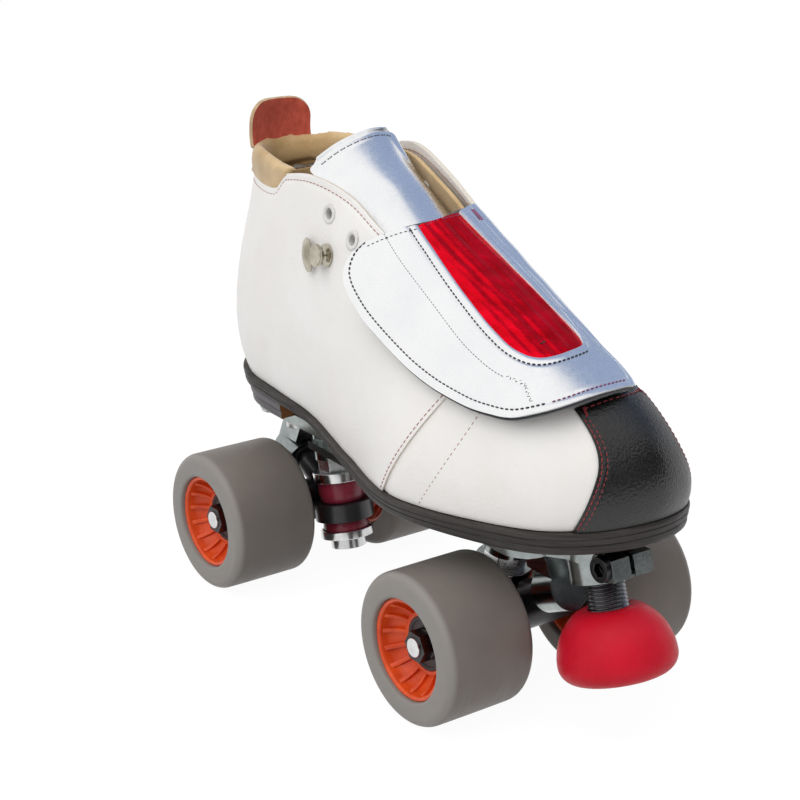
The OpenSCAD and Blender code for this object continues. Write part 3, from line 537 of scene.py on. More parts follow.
WHITE_LEATHER = finish(
    "white_leather", dict(grain=cells(1050, "SMOOTH_F1", (1, 1.15, 0.9)), pores=noise(2600, 2),
                          cloud=noise(14, 4, 0.6), grime=noise(60, 6, 0.65)),
    ("cloud", (0.775, 0.745, 0.705), (0.845, 0.825, 0.795)), ("pores", 0.36, 0.5),
    [("grain", 0.00022, 0.35), ("pores", 0.00006, 0.3)], [("grime", 0.55, 0.85, 0.22, (0.62, 0.575, 0.51))],
    Coat_Weight=0.12, Coat_Roughness=0.35)
CUT_EDGE = finish("cut_leather_edge", dict(fibre=noise(1800)), ("fibre", (0.56, 0.50, 0.42), (0.72, 0.67, 0.59)),
                  0.75, [("fibre", 0.0002, 0.5)])
HEM_T = 0.002


def leather_panel(name, spot, across, along):
    """Leather laid on the last, given its thickness and rounded cut edges."""
    piece = grid_piece(name, across, along, spot)
    wear(piece, WHITE_LEATHER, CUT_EDGE)
    thicken(piece, LEATHER_T - 0.2 * MM, 0.55 * MM, 3, rim=1)
    return piece


def vamp_spot(a, b):
    t = HEM_T + a * (1 - HEM_T)
    reach = lap_u(t) + 0.1
    u = (2 * b - 1) * reach
    tuck = ramp(mirror_u(u), lap_u(t) - 0.12, lap_u(t) - 0.005)
    return upper_spot(u, t, -0.75 * MM * tuck)


def quarter_spot(side):
    def spot(a, b):
        # columns are crowded at the notch behind the ankle
        share = b + 0.035 * np.sin(2 * np.pi * b)
        t = HEM_T + a * (top_t(lap_u(0.5) + share * (BACK - lap_u(0.5))) - HEM_T)
        u = lap_u(t) + share * (BACK - lap_u(t))
        t = HEM_T + a * (top_t(u) - HEM_T)
        lap = 0.25 * MM * ramp(u, lap_u(t) + 0.2, lap_u(t))
        return upper_spot(u if side < 0 else LOOP - u, t, lap)
    return spot


vamp = leather_panel("vamp_leather", vamp_spot, 56, 130)
lateral = leather_panel("lateral_quarter_leather", quarter_spot(-1), 72, 190)
medial = leather_panel("medial_quarter_leather", quarter_spot(1), 72, 190)
outward(medial)
pins = eyelet_cutter()
for panel in (lateral, medial, lining):
    finish_with(panel, "BOOLEAN", operation="DIFFERENCE", solver="EXACT", object=pins)
bpy.data.objects.remove(pins)
for panel, node in ((vamp, "vamp"), (lateral, "lateral_quarter"), (medial, "medial_quarter")):
    smooth(panel, 50)
    serve(panel, "boot", "white_leather", node)

# Toe cap. A black pebble-grained leather tip, skived thin at its edge and held to the
# vamp by two rows of red thread, with a bar tack at each end of its top edge.
CAP_SEAMS, CAP_TOP_SEAM = (0.045, 0.115), 0.026


def cap_u(t):
    """Side edge of the cap, flared where it meets the top edge."""
    return 1.17 - 0.85 * t + 3.3 * np.maximum(0, t - 0.34) ** 2


def cap_top(u):
    """Top edge of the cap, arched over the toes."""
    return 0.83 - np.where(np.asarray(u) > 0, 0.10, 0.05) * np.asarray(u) ** 2


def cap_spot(a, b):
    t = 0.8 * a
    for _ in range(12):
        u = (2 * b - 1) * cap_u(t)
        t = HEM_T * 2 + a * (cap_top(u) - HEM_T * 2)
    u = (2 * b - 1) * cap_u(t)
    side, top = cap_u(t) - abs(u), cap_top(u) - t
    edge = np.minimum(side / 0.10, top / 0.05)
    drawn = sum(groove(side - inset, 0.014) for inset in CAP_SEAMS) + groove(top - CAP_TOP_SEAM, 0.009)
    return on_last(u, t, (0.75 + 0.75 * ramp(edge, 0, 1) - 0.28 * drawn) * MM)


toe_cap = grid_piece("toe_cap_leather", 72, 110, cap_spot)
thicken(toe_cap, 0.9 * MM, 0.35 * MM)
smooth(toe_cap, 50)
wear(toe_cap, finish(
    "black_grain_leather", dict(pebble=cells(1150, "SMOOTH_F1", (1, 1.2, 0.85)), creases=noise(500, 4, 0.65),
                                rubbed=noise(40, 5)),
    ("pebble", (0.013, 0.0125, 0.012), (0.006, 0.006, 0.006), 0.1, 0.55), ("rubbed", 0.30, 0.44),
    [("pebble", 0.00032, 0.6), ("creases", 0.00018, 0.4)], [("rubbed", 0.56, 0.8, 0.5, (0.035, 0.033, 0.031))],
    Specular_IOR_Level=0.6))
serve(toe_cap, "boot", "black_leather", "toe_cap")

# Padded collar. A foam roll in tan leather round the back of the ankle, sewn into the
# dip of the quarters; it is swollen by a short cloth simulation of its stuffing.
PAD_H, PAD_END = 14 * MM, 6.55
# The roll above the boot's edge, as [outward, share of its height, lift], lengths in mm
PAD_ROLL = [[0.6, 0.1, 0], [1.2, 0.42, 0], [0.4, 0.82, 0], [-2.0, 1.0, 0], [-4.3, 0.8, 0], [-5.2, 0.45, 0],
            [-4.6, 0.12, 0.3]]
UP = np.array([0, 0, 1.0])


def pad_spot(a, b):
    u = PAD_END + b * (LOOP - 2 * PAD_END)
    rise = np.minimum(1, 1.5 * np.sin(np.pi * b))
    h = 2.5 * MM + (PAD_H - 3.5 * MM) * rise + 3.0 * MM * ramp(mirror_u(u), 8.2, 8.9)
    edge, low = np.maximum(top_t(u), 1), top_t(u) - 0.02
    mid = edge - (edge - low) * 0.5
    top = last_skin(u, edge)
    out = unit(last_out(u, 1) * (1 - UP))
    ring = [on_last(u, low, -1.9 * MM), on_last(u, low, -0.5 * MM), on_last(u, mid, 0.1 * MM)]
    ring += [top + out * far * MM + UP * (h * share + lift * MM)[:, None] for far, share, lift in PAD_ROLL]
    ring += [on_last(u, edge, -2.2 * MM) + UP * 0.25 * MM, on_last(u, mid, -2.1 * MM)]
    k = (a * len(ring)).round().astype(int) % len(ring)
    return np.stack(ring)[k, np.arange(len(u))]


def stuffed(piece, voxel, pressure, cap, frames=16):
    """Swells a closed piece like a stuffed cover; no point moves further than cap."""
    finish_with(piece, "REMESH", mode="VOXEL", voxel_size=voxel)
    before = np.array([v.co for v in piece.data.vertices])
    alone(piece)
    cloth = piece.modifiers.new("Cloth", "CLOTH")
    cloth.settings.quality = 4
    cloth.settings.mass = 0.2
    cloth.settings.use_pressure = True
    cloth.settings.uniform_pressure_force = pressure
    cloth.settings.tension_stiffness = cloth.settings.compression_stiffness = 30
    cloth.settings.bending_stiffness = 1.0
    cloth.settings.effector_weights.gravity = 0
    cloth.point_cache.frame_start, cloth.point_cache.frame_end = 1, frames
    for f in range(1, frames + 1):
        bpy.context.scene.frame_set(f)
    bpy.ops.object.modifier_apply(modifier=cloth.name)
    bpy.context.scene.frame_set(1)
    moved = np.array([v.co for v in piece.data.vertices]) - before
    far = np.linalg.norm(moved, axis=1, keepdims=True)
    settled = before + moved * np.minimum(1, cap / np.maximum(far, 1e-9))
    piece.data.vertices.foreach_set("co", settled.astype(np.float32).ravel())
    finish_with(piece, "SMOOTH", factor=0.5, iterations=4)
    finish_with(piece, "SUBSURF", levels=1, render_levels=1)
    smooth(piece, 60)


collar_pad = grid_piece("collar_padding", 12, 60, pad_spot)
edit(collar_pad, *FILL_HOLES)
outward(collar_pad)
stuffed(collar_pad, 1.1 * MM, 3.0, 0.7 * MM)
wear(collar_pad, lining_finish("collar_leather", (0.42, 0.265, 0.105), (0.66, 0.475, 0.25), 0.35))
serve(collar_pad, "boot", "tan_lining", "collar_pad")

# Pull tab. A doubled strip of red-brown strap leather sewn to the back of the collar,
# with rounded corners and a pale raw edge; it bows with the heel.
TAB_LOW, TAB_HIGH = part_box("pull_tab")
TAB_ROUND = 9.5 * MM
TAB_DOWN = 7 * MM


def tab_spot(a, b):
    half = (TAB_HIGH.y - TAB_LOW.y) / 2 - 0.8 * MM
    down = TAB_DOWN * (1 - 0.75 * (2 * b - 1) ** 2)
    tall = TAB_HIGH.z - TAB_LOW.z + down
    z = a * tall
    in_round = np.clip((z - (tall - TAB_ROUND)) / TAB_ROUND, 0, 1)
    wide = half - TAB_ROUND * (1 - np.sqrt(np.clip(1 - in_round ** 2, 0, 1)))
    y = (2 * b - 1) * wide
    bow = 5.5 * MM * (y / half) ** 2
    back = -2.2 * MM * np.sin(np.pi * np.clip(z / tall, 0, 1)) - 1.6 * MM * (1 - ramp(z, 0, 0.012))
    return np.stack([TAB_LOW.x + bow + back, y, TAB_LOW.z - down + z], -1)


def strap_finish(name, dark, light):
    return finish(name, dict(fibre=noise(420, 5, 0.65, (1, 1, 0.5)), pores=noise(2200, 2), blot=noise(70, 4)),
                  ("fibre", dark, light), 0.66, [("fibre", 0.0003, 0.5), ("pores", 0.0001, 0.4)],
                  [("blot", 0.5, 0.8, 0.35, [0.55 * c for c in dark])])


pull_tab = grid_piece("pull_tab_strap", 40, 44, tab_spot)
wear(pull_tab, strap_finish("strap_leather", (0.44, 0.066, 0.040), (0.66, 0.122, 0.075)),
     strap_finish("strap_raw_edge", (0.36, 0.24, 0.13), (0.55, 0.40, 0.24)))
thicken(pull_tab, 1.6 * MM, 0.5 * MM, offset=0, rim=1)
outward(pull_tab)
smooth(pull_tab, 50)
serve(pull_tab, "boot", "brown_leather", "pull_tab")

# Tongue. Silver foil leather over a thin foam and a felt back, sewn in under the throat;
# it arches over the instep and its hemmed top stands free above the collar.
TONGUE = [
    [[112, -8, 48], [113.5, -3, 53.2], [113.5, 8, 52.8], [112, 12, 47]],
    [[50, -17, 74], [53, -8, 84], [53, 10, 84], [50, 17, 75]],
    [[8, -21, 91], [14, -10, 104], [14, 9, 104], [6, 20, 92]],
    [[-20, -21, 104], [-12, -10, 119], [-12, 9, 121], [-22, 20, 107]],
    [[-53, -19, 115], [-44, -9, 128], [-42, 9, 132], [-44, 17, 128]]]
TONGUE_NET = np.array(TONGUE) * MM + np.array([STANCE, 0, PLATE_TOP])
TONGUE_T = 4.5 * MM
TONGUE_END, TONGUE_HEM = len(TONGUE) - 1, 3.80


def tongue_skin(s, t):
    """Point of the tongue: s from the throat to the free end, t across."""
    s, t = np.broadcast_arrays(np.asarray(s, float), np.asarray(t, float))
    return bezier(through(TONGUE_NET, s), t[..., None])


def tongue_out(s, t):
    e = 0.02
    s, t = np.asarray(s, float), np.asarray(t, float)
    across = tongue_skin(s, np.minimum(t + e, 1)) - tongue_skin(s, np.maximum(t - e, 0))
    along = tongue_skin(np.minimum(s + e, TONGUE_END), t) - tongue_skin(np.maximum(s - e, 0), t)
    return unit(np.cross(across, -along))


def tongue_waves(p):
    return 0.35 * MM * soft_waves(p, 0.04, 0.2)


def tongue_spot(a, b):
    s = TONGUE_END * b
    corner = ramp(s, 3.72, TONGUE_END)
    t = 0.5 + (a - 0.5) * (1 - 0.22 * corner ** 3)
    edge = np.minimum(np.minimum(t, 1 - t) / 0.10, (TONGUE_END - s) / 0.12)
    hem = groove(s - TONGUE_HEM, 0.03) * ramp(np.minimum(t, 1 - t), 0.02, 0.08)
    p = tongue_skin(s, t)
    lift = -1.3 * MM * (1 - ramp(edge, 0, 1)) - 0.4 * MM * hem + tongue_waves(p)
    return p + tongue_out(s, t) * lift[:, None]


def felt_finish(name, dark, light):
    return finish(name, dict(fuzz=noise(1600, 4, 0.75), clump=noise(260, 4, 0.6)), ("clump", dark, light), 0.95,
                  [("fuzz", 0.0005, 0.8)], Sheen_Weight=0.5)


# Metallic film pressed on leather: mirror-like, a little uneven, finely cracked
SILVER_FOIL = finish(
    "silver_foil", dict(slow=noise(38, 3, 0.5), fine=noise(420, 4, 0.6), pores=cells(1300, "SMOOTH_F1")),
    ("slow", (0.87, 0.875, 0.885), (0.94, 0.942, 0.946)), ("fine", 0.216, 0.3375),
    [("slow", 0.0004, 0.35), ("fine", 0.00004, 0.15), ("pores", 0.00004, 0.12)], Metallic=1.0)
DARK_BACKING = felt_finish("dark_backing", (0.012, 0.013, 0.014), (0.03, 0.032, 0.034))
tongue = grid_piece("tongue_foil", 60, 150, tongue_spot)
wear(tongue, SILVER_FOIL, felt_finish("grey_felt", (0.20, 0.19, 0.175), (0.33, 0.315, 0.29)), DARK_BACKING)
thicken(tongue, TONGUE_T - 1.4 * MM, 0.8 * MM, 3, back=1, rim=2)
smooth(tongue, 55)
serve(tongue, "boot", "silver_foil", "tongue")

# Eyelets and lace hooks. Thin stamped metal set through leather and lining: the eyelets are
# enamelled white and rolled over at the back, the hooks nickel plates bent on a riveted foot.
EYELET_EDGE = [[2.2, -4.9], [2.2, -0.4], [2.25, 0.1], [2.5, 0.45], [3.0, 0.62], [3.6, 0.58], [4.05, 0.38],
               [4.2, 0.15], [3.6, 0.05], [3.0, 0.02], [2.75, -0.3], [2.75, -4.6], [3.4, -5.0], [3.0, -5.4], [2.4, -5.3]]


def outline(name, points, **settings):
    """Ring of [radius, height] points in mm, standing in the XZ plane."""
    piece = started("circle", name, vertices=len(points), radius=1, **settings)
    for v, (r, h) in zip(piece.data.vertices, points):
        v.co = (r * MM, 0, h * MM)
    return piece


def turned(name, profile, steps, angle):
    """Profile spun once round the Z axis and shaded smooth up to an angle."""
    piece = outline(name, profile)
    edit(piece, ("spin", {"steps": steps, "angle": 2 * math.pi, "center": (0, 0, 0), "axis": (0, 0, 1)}),
         SELECT_ALL, ("remove_doubles", {"threshold": 0.004 * MM}), FACE_OUT)
    smooth(piece, angle)
    return piece


def stand(piece, matrix):
    """Puts a piece where it belongs, with its place in its mesh."""
    piece.data.transform(matrix)
    piece.data.update()
    return piece


def copies(piece, places, name):
    """Copies a piece to each place, joins them and drops the pattern."""
    made = []
    for place in places:
        twin = piece.copy()
        twin.data = piece.data.copy()
        bpy.context.scene.collection.objects.link(twin)
        made.append(stand(twin, place))
    bpy.data.objects.remove(piece)
    return as_one(name, *made)


def metal_finish(name, dark, light, roughness, marks=0.0001, metallic=1.0, brushed=None):
    """Plated, polished or brushed metal with fine marks and slight tarnish."""
    return finish(name, dict(tarnish=noise(90, 5, 0.6), lines=noise(2400, 3, 0.7, brushed)),
                  ("tarnish", light, dark, 0.3, 0.72), ("lines", roughness * 0.7, roughness * 1.4, 0.25, 0.75),
                  [("lines", marks, 0.12)], Metallic=metallic)


def on_boot(u, t):
    """Place on the upper with Z outward and X towards the toe."""
    along = last_skin(u - 0.02, t) - last_skin(u + 0.02, t)
    z = Vector(last_out(u, t)).normalized()
    y = z.cross(Vector(along * (1 if mirror_u(u) == u % LOOP else -1))).normalized()
    place = Matrix((y.cross(z), y, z)).transposed().to_4x4()
    place.translation = Vector(last_skin(u, t))
    return place


eyelets = turned("eyelet", EYELET_EDGE, 32, 50)
wear(eyelets, metal_finish("eyelet_enamel", (0.60, 0.585, 0.56), (0.74, 0.725, 0.70), 0.34, metallic=0.0))
eyelets = copies(eyelets, [on_boot(w, t) for u, t in EYES for w in (u, LOOP - u)], "eyelet_rings")
serve(eyelets, "boot", "eyelet_metal", "eyelets")

HOOK_SPOT = [5.08, 0.733]
# Cup of the hook on its foot, as [radius, height]
HOOK_FOOT = [[0.01, 0.4], [2.0, 0.4], [4.6, 0.4], [4.9, 0.6], [4.9, 1.0], [4.4, 1.3], [2.6, 1.5], [2.0, 2.0],
             [1.9, 2.7], [2.3, 3.3], [3.4, 3.9], [4.4, 4.6], [4.95, 5.3], [4.9, 5.65], [4.55, 5.65], [4.1, 5.2],
             [3.1, 4.5], [1.8, 4.05], [0.01, 3.9]]


def hook_wing(a, b):
    """Oval plate behind the cup, its long way up the boot and leaning to the heel."""
    x, y = 2 * a - 1, 2 * b - 1
    x, y = x * np.sqrt(1 - y * y / 2), y * np.sqrt(1 - x * x / 2)
    across, along = 3.5 * x, 7.2 * y
    return np.stack([-10.8 + 0.88 * across - 0.47 * along, -3.6 + 0.47 * across + 0.88 * along,
                     3.3 - 1.0 * y * y - 0.5 * x * x], -1) * MM


def hook_neck(a, b):
    """Strap that joins the wing to the cup's foot."""
    half = 3.2 - 1.2 * np.sin(np.pi * b)
    return np.stack([-10.0 + 10.0 * b, (2 * a - 1) * half - 3.2 * (1 - b),
                     1.0 + 1.7 * ramp(b, 0.75, 0.1)], -1) * MM


hook = turned("hook_cup", HOOK_FOOT, 36, 45)
wing, neck = grid_piece("hook_wing", 8, 36, hook_wing), grid_piece("hook_neck", 8, 14, hook_neck)
for part in (wing, neck):
    outward(part)
    thicken(part, 0.9 * MM, 0.3 * MM, 2, 50, 0)
as_one("lace_hook", hook, wing, neck)
smooth(hook, 45)
wear(hook, metal_finish("hook_nickel", (0.27, 0.24, 0.18), (0.64, 0.60, 0.51), 0.17))
hooks = copies(hook, [on_boot(w, HOOK_SPOT[1]) for w in (HOOK_SPOT[0], LOOP - HOOK_SPOT[0])], "lace_hook_pair")
serve(hooks, "boot", "eyelet_metal", "lace_hooks")

# Stitching of the boot. Bonded thread, each stitch sunk at both ends: red on the toe cap,
# red-brown on the vamp and collar, black across the tongue's hem.
STITCH_SIDES = 6
# One stitch, as [share of its length, share of its thickness, height in thread radii]
STITCH_SHAPE = [[0.0, 0.3, -0.9], [0.10, 0.85, -0.1], [0.35, 1.0, 0.42], [0.65, 1.0, 0.42], [0.90, 0.85, -0.1],
                [1.0, 0.3, -0.9]]


def thread_finish(name, dark, light):
    return finish(name, dict(twist=noise(2600, 2)), ("twist", dark, light), 0.5, [("twist", 0.0003, 0.6)],
                  Sheen_Weight=0.2)


def sew(name, line, out, size, thread, body, slot):
    """Row of stitches along a line of points with the surface's outward directions; the size
    is a stitch's length, the pitch and the thread's radius in mm."""
    length, pitch, radius = (v * MM for v in size)
    line, out = np.asarray(line, float), unit(np.asarray(out, float))
    far = np.concatenate([[0], np.cumsum(np.linalg.norm(np.diff(line, axis=0), axis=1))])

    def at(s, values):
        return np.stack([np.interp(s, far, values[:, k]) for k in range(3)], -1)

    starts = np.arange(pitch * 0.2, far[-1] - length, pitch)
    shape = np.array(STITCH_SHAPE)
    s = starts[:, None] + shape[None, :, 0] * length
    centre, up = at(s, line), unit(at(s, out))
    ahead = unit(at(np.minimum(s + length * 0.1, far[-1]), line) - at(np.maximum(s - length * 0.1, 0), line))
    side = unit(np.cross(up, ahead))
    turn = np.linspace(0, 2 * np.pi, STITCH_SIDES, endpoint=False)
    ring = (np.cos(turn)[:, None] * side[:, :, None, :] + np.sin(turn)[:, None] * up[:, :, None, :])
    points = ((centre + up * (shape[:, 2] * radius)[None, :, None])[:, :, None, :]
              + ring * (radius * shape[:, 1])[None, :, None, None])
    n, rings = len(starts), len(shape)
    index = np.arange(n * rings * STITCH_SIDES).reshape(n, rings, STITCH_SIDES)
    nxt = np.roll(index, -1, axis=2)
    walls = np.stack([index[:, :-1], nxt[:, :-1], nxt[:, 1:], index[:, 1:]], -1).reshape(-1, 4).tolist()
    ends = index[:, 0, ::-1].tolist() + index[:, -1].tolist()
    mesh = bpy.data.meshes.new(name)
    mesh.from_pydata(points.reshape(-1, 3).tolist(), [], walls + ends)
    piece = bpy.data.objects.new(name, mesh)
    bpy.context.scene.collection.objects.link(piece)
    smooth(piece, 60)
    wear(piece, thread)
    serve(piece, body, slot)


def boot_row(name, u, t, lift, size):
    """Stitches along a line on the upper."""
    u, t = np.broadcast_arrays(np.asarray(u, float), np.asarray(t, float))
    line = upper_spot(u, t, lift + np.zeros(len(u)))
    sew(name, line, last_out(u, t), size, BROWN_THREAD, "boot", "white_leather")


def cap_row(name, u, t, lift, size):
    """Stitches along a line on the toe cap."""
    sew(name, on_last(u, t, lift), last_out(u, t), size, RED_THREAD, "boot", "black_leather")


RED_THREAD = thread_finish("red_thread", (0.20, 0.012, 0.016), (0.36, 0.028, 0.034))
BROWN_THREAD = thread_finish("brown_thread", (0.20, 0.045, 0.035), (0.36, 0.095, 0.07))
BLACK_THREAD = thread_finish("black_thread", (0.008, 0.008, 0.012), (0.035, 0.033, 0.045))

SEAM_SIZE = (2.0, 2.5, 0.21)
seam_t = np.linspace(0.012, 0.62, 120)
for tag, side, cap_end in (("lateral", -1, 0.69), ("medial", 1, 0.74)):
    turn_u = (lambda v: v) if side < 0 else (lambda v: LOOP - v)
    boot_row(f"lap_stitches_{tag}", turn_u(lap_u(seam_t) + 0.035), seam_t, 0.2 * MM, SEAM_SIZE)
    boot_row(f"vamp_stitches_{tag}", turn_u(second_u(seam_t)), seam_t, 0.05 * MM, SEAM_SIZE)
    cap_t = np.linspace(0.02, cap_end, 160)
    for k, inset in enumerate(CAP_SEAMS):
        cap_row(f"cap_stitches_{tag}_{k}", turn_u(cap_u(cap_t) - inset), cap_t, 1.15 * MM, (1.8, 2.3, 0.22))
collar_u = np.linspace(3.9, LOOP - 3.9, 700)
boot_row("collar_stitches", collar_u, top_t(collar_u) - COLLAR_SEAM, 0.05 * MM, (2.1, 2.6, 0.2))
cap_top_u = np.linspace(-0.98, 0.98, 160)
cap_row("cap_top_stitches", cap_top_u, cap_top(cap_top_u) - CAP_TOP_SEAM, 1.15 * MM, (2.0, 2.7, 0.27))
for tag, side in (("medial", -1), ("lateral", 1)):
    tack_u = np.full(60, side * 0.84) + np.tile([0.0, 0.05], 30) * side
    tack_t = cap_top(tack_u) - 0.018 - np.linspace(0, 0.055, 60)
    cap_row(f"cap_tack_{tag}", tack_u, tack_t, 1.2 * MM, (2.2, 1.4, 0.3))
hem_t = 0.5 + np.linspace(-0.43, 0.43, 160) * 0.97
hem_s = np.full(160, TONGUE_HEM)
hem, hem_out = tongue_skin(hem_s, hem_t), tongue_out(hem_s, hem_t)
sew("tongue_stitches", hem + hem_out * (tongue_waves(hem) - 0.3 * MM)[:, None], hem_out, (2.4, 3.3, 0.34),
    BLACK_THREAD, "boot", "silver_foil")

# Lace cover. Two leathers sewn back to back, foil outside and black inside, with a red
# crinkled-foil panel behind a cut window; its far edge is sewn to the boot and folds there.
COVER_SLOPE = math.radians(26.57)
COVER_START = np.array([STANCE + 16 * MM, 0, PLATE_TOP + 109 * MM])
COVER_LEAN = math.radians(35)
COVER_T, FACE_T = 2.4 * MM, 1.2 * MM
# Section across the instep as [side, up], from the fold to the free lower edge
SECTION = np.array([[14, 1.6], [-12, 8.5], [-42, -2.4], [-49.2, -36.5]]) * MM
# Pattern as [along, across] pairs: outer edge and window edge at the same step
PATTERN = np.array([
    [2.8, -37, 10.5, -15.2], [3.3, -43, 12, -15.4], [7, -48.2, 15, -15.7], [13, -50.9, 19, -16.1],
    [22, -52.2, 25, -16.6], [33.5, -52.6, 34, -17.5], [47.5, -52, 45, -18.3], [60.5, -50.9, 56, -18.9],
    [72, -48.9, 66, -19.1], [82.5, -46.1, 73.5, -19], [91.5, -43, 78.5, -18.7], [99.5, -39, 82.5, -18],
    [104.5, -35.8, 86, -16.8], [108.3, -31.6, 89, -15.2], [112.3, -24, 91.7, -12.4], [114.8, -15.5, 93.2, -8.6],
    [116, -5, 93.6, -4], [115.8, 6, 92.6, 2.4], [113.5, 10.4, 90.2, 4.6], [92, 10.4, 82, 5.3],
    [58, 10.4, 58, 4.4], [25, 10.4, 30, 2.9], [6, 10.4, 10.5, 1.8]])
# Middle line of the window, which closes the sheets that have no window
MIDDLE = np.array([[11 + 74 * min(1, k / 8.5) if k < 16 else 85 - 74 * (k - 16) / 6, -6.5] for k in range(23)])


def section(q):
    """Point of the cover's section and its outward direction, q from the fold down."""
    q = np.asarray(q, float)[:, None]
    first, second, third = np.diff(SECTION, axis=0)
    go = (1 - q) * (1 - q) * first + 2 * (1 - q) * q * second + q * q * third
    return bezier(SECTION, q), unit(np.stack([go[:, 1], -go[:, 0]], -1))


SECTION_Q = np.linspace(-0.25, 1.1, 800)
SECTION_W = section(SECTION_Q)[0] @ np.array([math.cos(COVER_LEAN), math.sin(COVER_LEAN)])


def slope_point(along, side, up):
    """From the cover's own slope to the row frame."""
    s, c = math.sin(COVER_SLOPE), math.cos(COVER_SLOPE)
    return COVER_START + np.stack([along * c + up * s, side, up * c - along * s], -1)


def on_cover(flat, off):
    """Lays a point of the flat pattern, in mm, over the instep at this height off the inner face."""
    p, out = section(np.interp(-flat[:, 1] * MM, -SECTION_W, SECTION_Q))
    p = p + out * np.asarray(off)[..., None]
    return slope_point(flat[:, 0] * MM, p[:, 0], p[:, 1])


def cover_out(flat):
    return unit(on_cover(flat, np.full(len(flat), 0.001)) - on_cover(flat, np.zeros(len(flat))))


def pattern_spot(start, stop, top, relief=None):
    """Grid place on the pattern between two edges of it."""
    def spot(a, b):
        s = (1 - b) * (len(PATTERN) - 1)
        edge, inner = start(s), stop(s)
        flat = edge + (inner - edge) * a[:, None]
        lift = relief(flat, edge, inner) if relief else 0.0
        return on_cover(flat, top + lift + np.zeros(len(a)))
    return spot


def outer_edge(s, grow=0.0):
    line = through(PATTERN[:, :2], s)
    return line + unit(line - through(PATTERN[:, 2:], s)) * grow


def window_edge(s, grow=0.0):
    line = through(PATTERN[:, 2:], s)
    return line + unit(through(PATTERN[:, :2], s) - line) * grow


def from_edge(flat, edge):
    return np.linalg.norm(flat - edge, axis=1)


EDGE_SEAM, WINDOW_SEAM = 3.0, 3.3
# Middle seam on the near panel, as [along, across]
MID_SEAM = np.array([[5.6, -27.2], [21, -29], [44.5, -30], [66.5, -30.8], [79, -30], [87, -28.5], [93.5, -26.2],
                     [98.5, -24.2], [102, -25.2], [107, -26.5]])


def cover_waves(flat):
    return soft_waves(np.c_[flat, flat[:, :1]] * MM, 0.05, 0.3)


def face_relief(flat, edge, inner):
    """Leather drawn in at its seams, thinner at its cut edges and softly uneven."""
    outer, window = from_edge(flat, edge), from_edge(flat, inner)
    drawn = groove(outer - EDGE_SEAM, 0.8) + groove(window - WINDOW_SEAM, 0.8)
    seam = through(MID_SEAM, np.linspace(0, 9, 200))
    far = np.min(np.linalg.norm(flat[:, None] - seam[None], axis=2), axis=1)
    cut = 1 - ramp(np.minimum(outer, window), 0, 1.2)
    return MM * (-0.30 * drawn - 0.22 * groove(far, 0.7) - 0.25 * cut + 0.3 * cover_waves(flat))


def red_relief(flat, edge, _inner):
    """Crinkled foil: long soft folds down the panel and two dents."""
    x, y = flat[:, 0], flat[:, 1]
    fold = np.sin(y * 0.9 + 0.05 * x + np.sin(x * 0.11)) + 0.6 * np.sin(y * 1.9 - 0.07 * x + 2 * np.sin(x * 0.06))
    dent = (1.2 * groove(np.hypot((x - 78) / 16, (y + 7) / 3.0), 1)
            + 0.8 * groove(np.hypot((x - 40) / 30, (y + 3) / 3.5), 1))
    return MM * (0.28 + 0.10 * fold - 0.16 * dent) * ramp(from_edge(flat, edge), 1.0, 4.0)


def cover_sheet(name, spot, thick, bevel, slot, node, *looks, cols=40, merge=True, angle=50):
    """One layer of the cover; its looks are face, back and cut edge."""
    sheet = grid_piece(name, cols, 220, spot, merge)
    wear(sheet, *looks)
    thicken(sheet, thick, bevel, 2, 60, back=1, rim=2)
    smooth(sheet, angle)
    serve(sheet, "lace_cover", slot, node)


RED_FOIL = finish(
    "red_foil", dict(streak=noise(170, 4, by=(0.10, 1, 1)), crinkle=noise(700, 4, 0.65, (0.5, 1, 1))),
    ("streak", (0.55, 0.0, 0.006), (0.90, 0.001, 0.018)), ("crinkle", 0.20, 0.34),
    [("streak", 0.0009, 0.45), ("crinkle", 0.00012, 0.25)], turn=(0, COVER_SLOPE, 0), Metallic=0.85,
    Specular_IOR_Level=0.2)
CUT_FOIL = finish("cut_foil_edge", dict(fibre=noise(1500)), ("fibre", (0.66, 0.65, 0.66), (0.84, 0.83, 0.83)), 0.7,
                  [("fibre", 0.0002, 0.5)])
cover_sheet("lace_cover_face", pattern_spot(outer_edge, window_edge, COVER_T, face_relief), FACE_T - 0.15 * MM,
            0.25 * MM, "silver_foil", "lace_cover", SILVER_FOIL, DARK_BACKING, CUT_FOIL, cols=46, merge=False)
cover_sheet("lace_cover_backing", pattern_spot(
    lambda s: outer_edge(s, 0.5), lambda s: through(MIDDLE, s), FACE_T - 0.2 * MM), FACE_T - 0.3 * MM, 0.25 * MM,
    "fastener_pad", "lace_cover", DARK_BACKING)
cover_sheet("lace_cover_panel", pattern_spot(
    lambda s: window_edge(s, 1.2), lambda s: through(MIDDLE, s), FACE_T + 0.05 * MM, red_relief), 0.5 * MM, 0,
    "red_foil", "cover_window", RED_FOIL, angle=60)

# The anchor is sewn down on the boot's far side and the fold joins it to the cover
ANCHOR_FROM, ANCHOR_TO = 7.0 * MM, 111.0 * MM
anchor_us = np.linspace(LOOP - 1.2, LOOP - 6.4, 300)
anchor_xs = last_skin(anchor_us, 0.86)[:, 0]
FOLD = np.array([[10.2, 3.3], [11.3, 3.2], [12.0, 2.5], [12.6, 1.6], [13.3, 0.5], [14.0, -0.6], [14.7, -1.7]])


